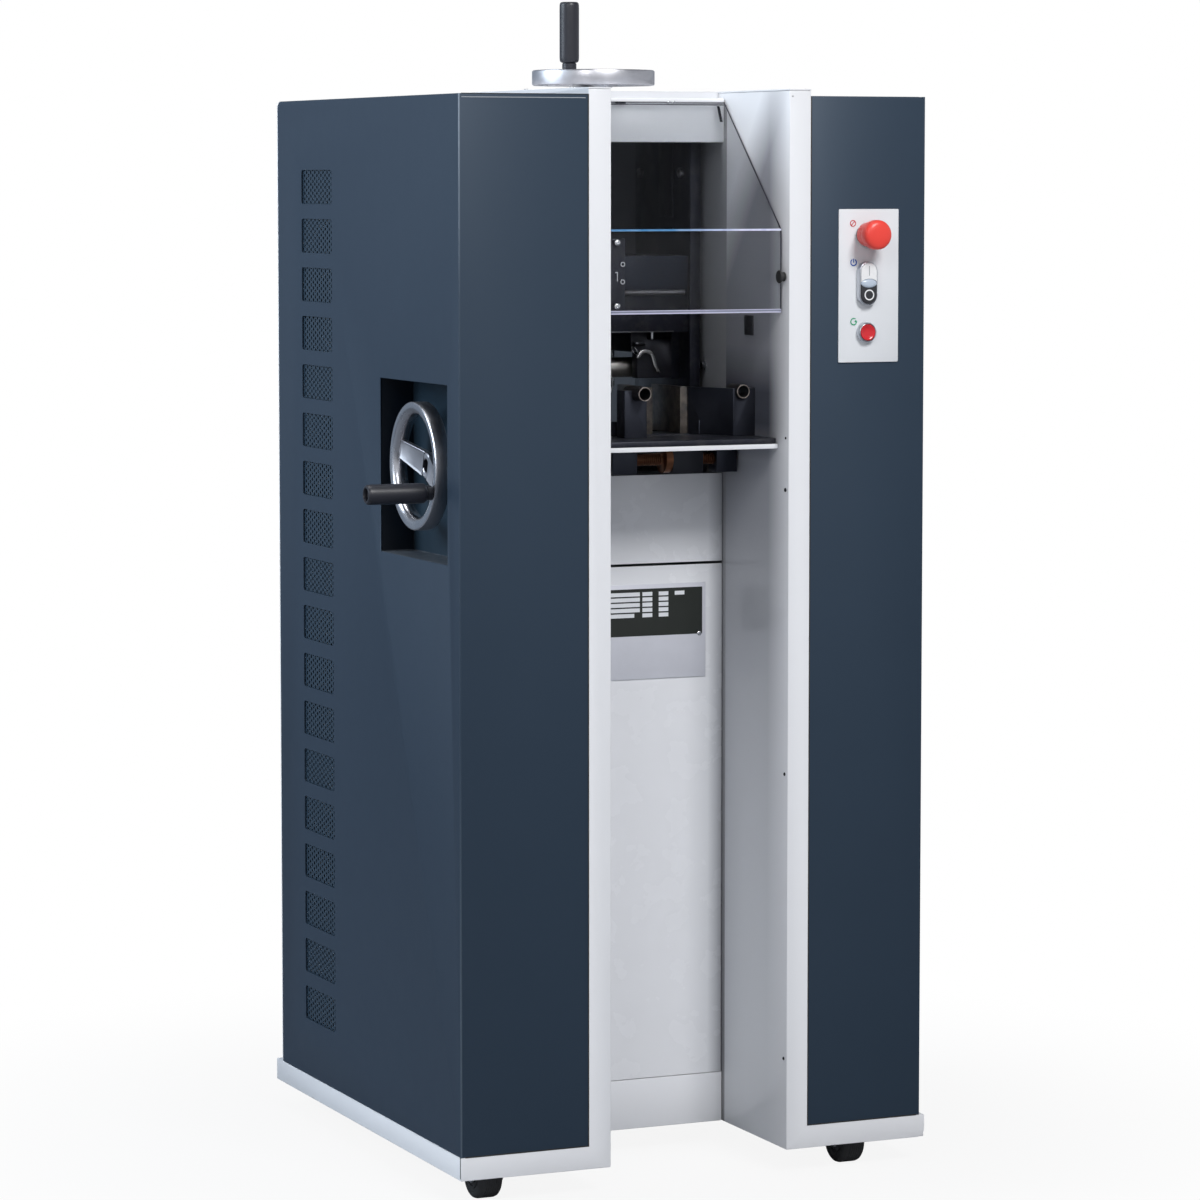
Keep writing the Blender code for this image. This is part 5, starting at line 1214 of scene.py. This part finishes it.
def carriage_dress():
    """Ground face plate, cross rod and the swing catch for the roller."""
    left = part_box("carriage")[0].x - SIDE_ORIGIN
    plate = block(
        "face_plate", (left + 0.002, 0.2524, 1.1500), (0.4285, 0.2562, 1.1948), 0.0006,
    )
    add(plate, BLUED_STEEL, "carriage")
    length = 0.4245 - left - 0.004
    rod = lathe("cross_rod", spot(left + 0.004, 0.2526, 1.1465), "x", [
        (0.0030, 0.0), (0.0034, 0.0005), (0.0034, length - 0.0005), (0.0030, length),
    ], 24)
    add(rod, DULL_STEEL, "carriage")
    pin = lathe("catch_pin", spot(0.3576, 0.2665, 1.0775), "x", [
        (0.0030, 0.0), (0.0036, 0.0006), (0.0036, 0.0142), (0.0026, 0.0146), (0.0026, 0.0158),
    ], 6)
    add(pin, DARK_STEEL, "carriage")
    clear_selection()
    bpy.ops.mesh.primitive_torus_add(
        major_radius=0.0062, minor_radius=0.0007, major_segments=40, minor_segments=8,
        location=spot(0.3555, 0.2590, 1.0695), rotation=(0.3, math.pi / 2 - 0.5, 0.4),
    )
    ring = settle(fresh("split_ring"))
    add(ring, BRIGHT_STEEL, "carriage")
    add(catch_hook(), GROUND_STEEL, "carriage")
    ridge, root = 0.0028, 0.0024
    thread = [(ridge, 0.0)]
    for number in range(4):
        turn = number * 0.0020
        thread += [(ridge, turn + 0.0012), (root, turn + 0.0016), (ridge, turn + 0.0020)]
    thread += [(ridge, 0.0092), (0.0022, 0.0102)]
    stud = lathe("thread_stud", spot(0.3878, 0.2752, 1.0932), "-z", thread, 20)
    add(stud, BRIGHT_STEEL, "carriage")
    lip = block("carriage_lip", (left + 0.001, 0.2548, 1.0937), (0.4110, 0.2564, 1.0953), 0.0004)
    add(lip, DULL_STEEL, "carriage")
    clamp = from_solid("knife_holder", "knife_clamp", 0.0006)
    cut(clamp, block("notch", (0.3790, 0.2700, 1.0835), (0.4170, 0.2790, 1.0950)))
    finish(clamp, DARK_STEEL, "knife_holder")


def catch_hook():
    """Flat curved hook that swings over the roller's collar."""
    centre = spot(0.3764, 0.2702, 1.0563)
    radius, start = 0.0115, math.radians(168)
    middle = centre + radius * Vector((math.cos(start), 0, math.sin(start)))
    hook = plane("catch_hook", middle, (0.0050, 0.0026), (0, -start, 0))
    open_whole(hook)
    bpy.ops.mesh.spin(steps=14, angle=math.radians(-158), center=centre, axis=(0, 1, 0))
    for across, fall_off, taper in (
        (0.0020, -0.0080, 0.95), (0.0040, -0.0080, 0.85), (0.0030, -0.0035, 0.7),
    ):
        extrude(across, 0, fall_off)
        bpy.ops.transform.resize(value=(taper, 1, 1))
    face_outwards(hook)
    return round_edges(hook, 0.0005, 2, 40)


def pressure_roller():
    """Upper roller with its collars at both ends."""
    low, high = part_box("upper_roller")
    half = (high.x - low.x) / 2
    collars = [
        (0.0085, -half), (0.0085, -0.0700), (0.0122, -0.0698), (0.0122, -0.0612),
        (0.0126, -0.0610), (0.0126, -0.0560), (0.0130, -0.0556), (0.0130, -0.0396),
        (0.0120, -0.0395), (0.0120, -0.0393), (0.0135, -0.0390),
    ]
    profile = collars + [(radius, -height) for radius, height in reversed(collars)]
    roller = lathe("pressure_roller", (low + high) / 2, "x", profile, 64)
    finish(roller, ROLLER_STEEL, "upper_roller")


def guide_tubes():
    """Black guide tubes of the jaws with rubbed front rims."""
    for side in ("left", "right"):
        node = side + "_guide_tube"
        low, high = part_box(node)
        length = high.y - low.y
        place = ((low.x + high.x) / 2, low.y, (low.z + high.z) / 2)
        tube = lathe(side + "_tube", place, "y", [
            (0.0083, 0.0), (0.0088, 0.0001), (0.0090, 0.0004), (0.0090, length),
            (0.0079, length), (0.0079, 0.0004), (0.0081, 0.0001),
        ], 40, closed=True)
        finish(tube, BLACK_TUBE, node)
        tube.data.materials.append(TUBE_RIM)
        for face in tube.data.polygons:
            face.material_index = int(face.center.y < low.y + 0.0003)


def guide_screw():
    """Bronze screw of the jaws, threaded on both sides of its collar."""
    low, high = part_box("jaw_screw")
    start = low.x - SIDE_ORIGIN
    crest, root, collar = 0.0080, 0.0061, 0.0183
    profile = [(0.0078, 0.0), (crest, 0.0010)]
    place = 0.2120
    while place < 0.4520:
        along = place - start
        if not 0.3480 < place < 0.3620:
            profile += [
                (crest, along), (crest, along + 0.0009), (root, along + 0.0013),
                (root, along + 0.0020),
            ]
        else:
            profile += [
                (crest, 0.3503 - start), (collar, 0.3505 - start), (collar, 0.3600 - start),
                (crest, 0.3602 - start),
            ]
            place = 0.3602
        place += 0.0028
    length = high.x - low.x
    profile += [(crest, length - 0.001), (0.0078, length)]
    place = (low.x, (low.y + high.y) / 2, (low.z + high.z) / 2)
    screw = finish(lathe("guide_screw", place, "x", profile, 28), BRONZE, "jaw_screw", angle=50)
    screw.data.materials.append(DULL_STEEL)
    for face in screw.data.polygons:
        face.material_index = int(face.center.x < 0.2000 + SIDE_ORIGIN)


guide_strips()
carriage_dress()
pressure_roller()
guide_tubes()
guide_screw()

# ---- name plate, casters

def name_plate():
    """Blank plate: black field with empty boxes, bare metal below, rivets in the corners."""
    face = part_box("nameplate")[0].y - FRONT_ORIGIN
    field = block(
        "plate_field", (0.2345, face - 0.00025, 0.6943), (0.4258, face + 0.0002, 0.7570),
        0.0001, 1,
    )
    add(field, FIELD_BLACK)
    boxes = []
    for row in range(5):
        top = 0.7526 - row * 0.00705
        columns = [(0.2390, 0.3267 if row == 4 else 0.3348), (0.3385, 0.3529), (0.3622, 0.3762)]
        if row == 0:
            columns.append((0.3855, 0.3996))
        for left, right in columns:
            low, high = (left, face - 0.0004, top - 0.0052), (right, face - 0.0002, top)
            boxes.append(block("box", low, high))
    add(join("plate_boxes", boxes), PLATE_WHITE)
    for number, across in enumerate((0.4215, 0.2385)):
        rivet = lathe("plate_rivet_%d" % number, spot(across, face, 0.6947), "-y", [
            (0.0031, 0.0), (0.0030, 0.0006), (0.0024, 0.0011), (0.0012, 0.0014),
        ], 24)
        add(rivet, BRIGHT_STEEL)


def caster(corner):
    """Wheel with a grooved tread band and a hub, and a fork of pressed plate."""
    node = corner + "_wheel"
    low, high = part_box(node)
    middle = (low + high) / 2
    radius = (high.z - low.z) / 2
    half = (high.x - low.x) / 2
    outline = (
        (0.0056, 0.0), (0.0095, 0.0), (0.0100, 0.0010), (0.0110, 0.0026), (0.0150, 0.0026),
        (0.0158, 0.0012), (0.0182, 0.0012), (0.0190, 0.0026), (0.0225, 0.0024),
        (0.0238, 0.0008), (0.0262, 0.0008), (0.0288, 0.0018), (0.0306, 0.0034),
        (radius - 0.0005, 0.0052), (radius, 0.0072),
    )
    profile = [(across, -half + depth) for across, depth in outline]
    grooves, shoulder, sunk = 6, 0.0075, 0.0004
    pitch = (2 * half - 2 * shoulder) / grooves
    for number in range(grooves):
        place = -half + shoulder + number * pitch
        profile += [
            (radius, place), (radius, place + pitch * 0.72),
            (radius - sunk, place + pitch * 0.80), (radius - sunk, place + pitch * 0.92),
        ]
    profile += [(across, half - depth) for across, depth in reversed(outline)]
    wheel = lathe(corner + "_roller", middle, "x", profile, 56, closed=True)
    finish(wheel, RUBBER, node)
    node = corner + "_fork"
    low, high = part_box(node)
    pieces = [from_solid(node, corner + "_bracket", 0.0007)]
    for axis, face in (("-x", low.x), ("x", high.x)):
        pieces.append(lathe("nut", (face, middle.y, middle.z), axis, [
            (0.0072, -0.0004), (0.0072, 0.0020), (0.0062, 0.0030), (0.0030, 0.0030),
        ], 6))
    finish(join(corner + "_bracket", pieces), ZINC, node)


def panel_gaps():
    """Black strips as painted shade in the joints round the front of both covers and at the corner
    of the skirts, and a pale line as painted highlight on the cover's top fold.
    """
    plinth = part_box("base_frame")[0]
    front, side = plinth.y - FRONT_ORIGIN, plinth.x - SIDE_ORIGIN
    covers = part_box("left_cover")[0].y - FRONT_ORIGIN
    near, far = covers - 0.0002, covers + 0.0010
    # Black strips as painted shade in the gaps between the panels.
    shadow_joints = (
        ((0.1747, near, 0.0632), (0.1765, far, 1.4030)),
        ((0.0060, near, 0.0630), (0.1765, far, 0.0646)),
        ((0.4873, near, 0.0632), (0.4889, far, 1.4030)),
        ((0.4873, near, 0.0630), (0.6480, far, 0.0646)),
        ((0.0040, near, 1.4030), (0.1765, far, 1.4040)),
        ((side - 0.0001, front - 0.0001, 0.0362), (side + 0.0013, front + 0.0013, 0.0634)),
    )
    add(join("panel_gaps", [block("joint", low, high) for low, high in shadow_joints]), RUBBER)
    # A pale line as painted highlight on the left cover's top fold.
    fold_highlight = block("cover_fold_highlight", (0.0040, covers - 0.0001, 1.3985), (0.1720, far, 1.3995))
    add(fold_highlight, MARK_GREY, slot="dark_powder_coat")


name_plate()
for corner in ("front_left", "front_right", "rear_left", "rear_right"):
    caster(corner)
panel_gaps()

# ---- studio

scene = bpy.context.scene
scene.view_settings.view_transform = "Standard"


def studio_camera():
    """Camera at the photograph's viewpoint."""
    data = bpy.data.cameras.new("camera")
    data.sensor_width = 36
    data.lens = CAMERA_LENS
    data.shift_y = CAMERA_SHIFT
    data.clip_start = 0.1
    data.clip_end = 60
    camera = bpy.data.objects.new("camera", data)
    camera.location = CAMERA_PLACE
    camera.rotation_euler = (math.radians(90 - CAMERA_PITCH), 0, math.radians(-CAMERA_TURN))
    scene.collection.objects.link(camera)
    scene.camera = camera


def lamp(name, place, aim, size, power, colour=(1, 1, 1)):
    """Soft box at a place, turned towards its aim."""
    data = bpy.data.lights.new(name, "AREA")
    data.shape = "RECTANGLE"
    data.size, data.size_y = size
    data.energy = power
    data.color = colour
    light = bpy.data.objects.new(name, data)
    light.location = place
    direction = Vector(aim) - Vector(place)
    light.rotation_euler = direction.to_track_quat("-Z", "Y").to_euler()
    scene.collection.objects.link(light)


def studio_world():
    """Dim surround for the light; camera and reflections see a pale one with dark zones."""
    world = bpy.data.worlds.new("studio")
    scene.world = world
    world.use_nodes = True
    tree = world.node_tree
    back = tree.nodes["Background"]
    back.inputs["Color"].default_value = (0.93, 0.95, 1.0, 1)
    back.inputs["Strength"].default_value = 0.19
    pale = tree.nodes.new("ShaderNodeBackground")
    pale.inputs["Strength"].default_value = 1.0
    rays = tree.nodes.new("ShaderNodeLightPath").outputs
    glossy = rays["Is Glossy Ray"]
    sides = axes(tree, "Generated")
    above = arithmetic(tree, "MULTIPLY", rise(tree, sides["Z"], 0.20, 0.55), glossy)
    behind = arithmetic(tree, "MULTIPLY", rise(tree, sides["Y"], 0.30, 0.90), glossy)
    tone = blended(tree, glossy, (1.0, 1.0, 1.0), (0.62, 0.64, 0.68))
    tone = blended(tree, behind, tone, (0.22, 0.27, 0.34))
    feed(tree, pale.inputs["Color"], blended(tree, above, tone, (0.16, 0.17, 0.19)))
    seen = arithmetic(tree, "MAXIMUM", rays["Is Camera Ray"], rays["Is Transmission Ray"])
    seen = arithmetic(tree, "MAXIMUM", seen, glossy)
    mixed(tree, seen, back, pale, "World Output")


def studio_floor():
    """Pale floor that keeps the shadow near the machine and fades into the backdrop."""
    clear_selection()
    bpy.ops.mesh.primitive_circle_add(
        vertices=96, radius=14, fill_type="NGON", location=(0, 0, 0),
    )
    piece = settle(fresh("studio_floor"))
    material, tree, shader = blank("studio_floor")
    rays = tree.nodes.new("ShaderNodeLightPath").outputs
    glossy = rays["Is Glossy Ray"]
    ground = blended(tree, glossy, (0.50, 0.51, 0.53), (0.14, 0.15, 0.17))
    feed(tree, shader.inputs["Base Color"], ground)
    shader.inputs["Roughness"].default_value = 0.7
    distance = tree.nodes.new("ShaderNodeVectorMath")
    distance.operation = "LENGTH"
    place = tree.nodes.new("ShaderNodeTexCoord")
    tree.links.new(place.outputs["Object"], distance.inputs[0])
    away = distance.outputs["Value"]
    direct = arithmetic(tree, "MAXIMUM", rays["Is Camera Ray"], rays["Is Transmission Ray"])
    backdrop = ranged(tree, away, 0.90, 1.0, 0.4, 1.3, "SMOOTHSTEP")
    mirrored = ranged(tree, away, 0.0, 1.0, 3.0, 9.0, "SMOOTHSTEP")
    near = arithmetic(tree, "MULTIPLY", direct, backdrop)
    far = arithmetic(tree, "MULTIPLY", glossy, mirrored)
    rear = rise(tree, axes(tree)["Y"], -1.5, 2.5)
    reflected = blended(tree, rear, (0.62, 0.64, 0.68), (0.22, 0.27, 0.34))
    glow = tree.nodes.new("ShaderNodeEmission")
    feed(tree, glow.inputs["Color"], blended(tree, glossy, (1, 1, 1), reflected))
    share = arithmetic(tree, "MAXIMUM", near, far)
    mixed(tree, share, shader, glow, "Material Output")
    piece.data.materials.append(material)


studio_camera()
lamp("key_softbox", (0.4, -4.0, 4.2), (0, 0, 0.8), (1.6, 1.3), 172)
lamp("fill_softbox", (-2.9, -3.6, 3.2), (0, 0, 1.0), (1.6, 1.6), 36)
lamp("side_softbox", (-4.0, 1.3, 2.6), (0, 0, 0.8), (2.4, 2.6), 150, (0.78, 0.89, 1.0))
lamp("top_softbox", (-0.35, 0.3, 4.0), (0, 0, 1.0), (1.4, 1.4), 34)
studio_world()
studio_floor()
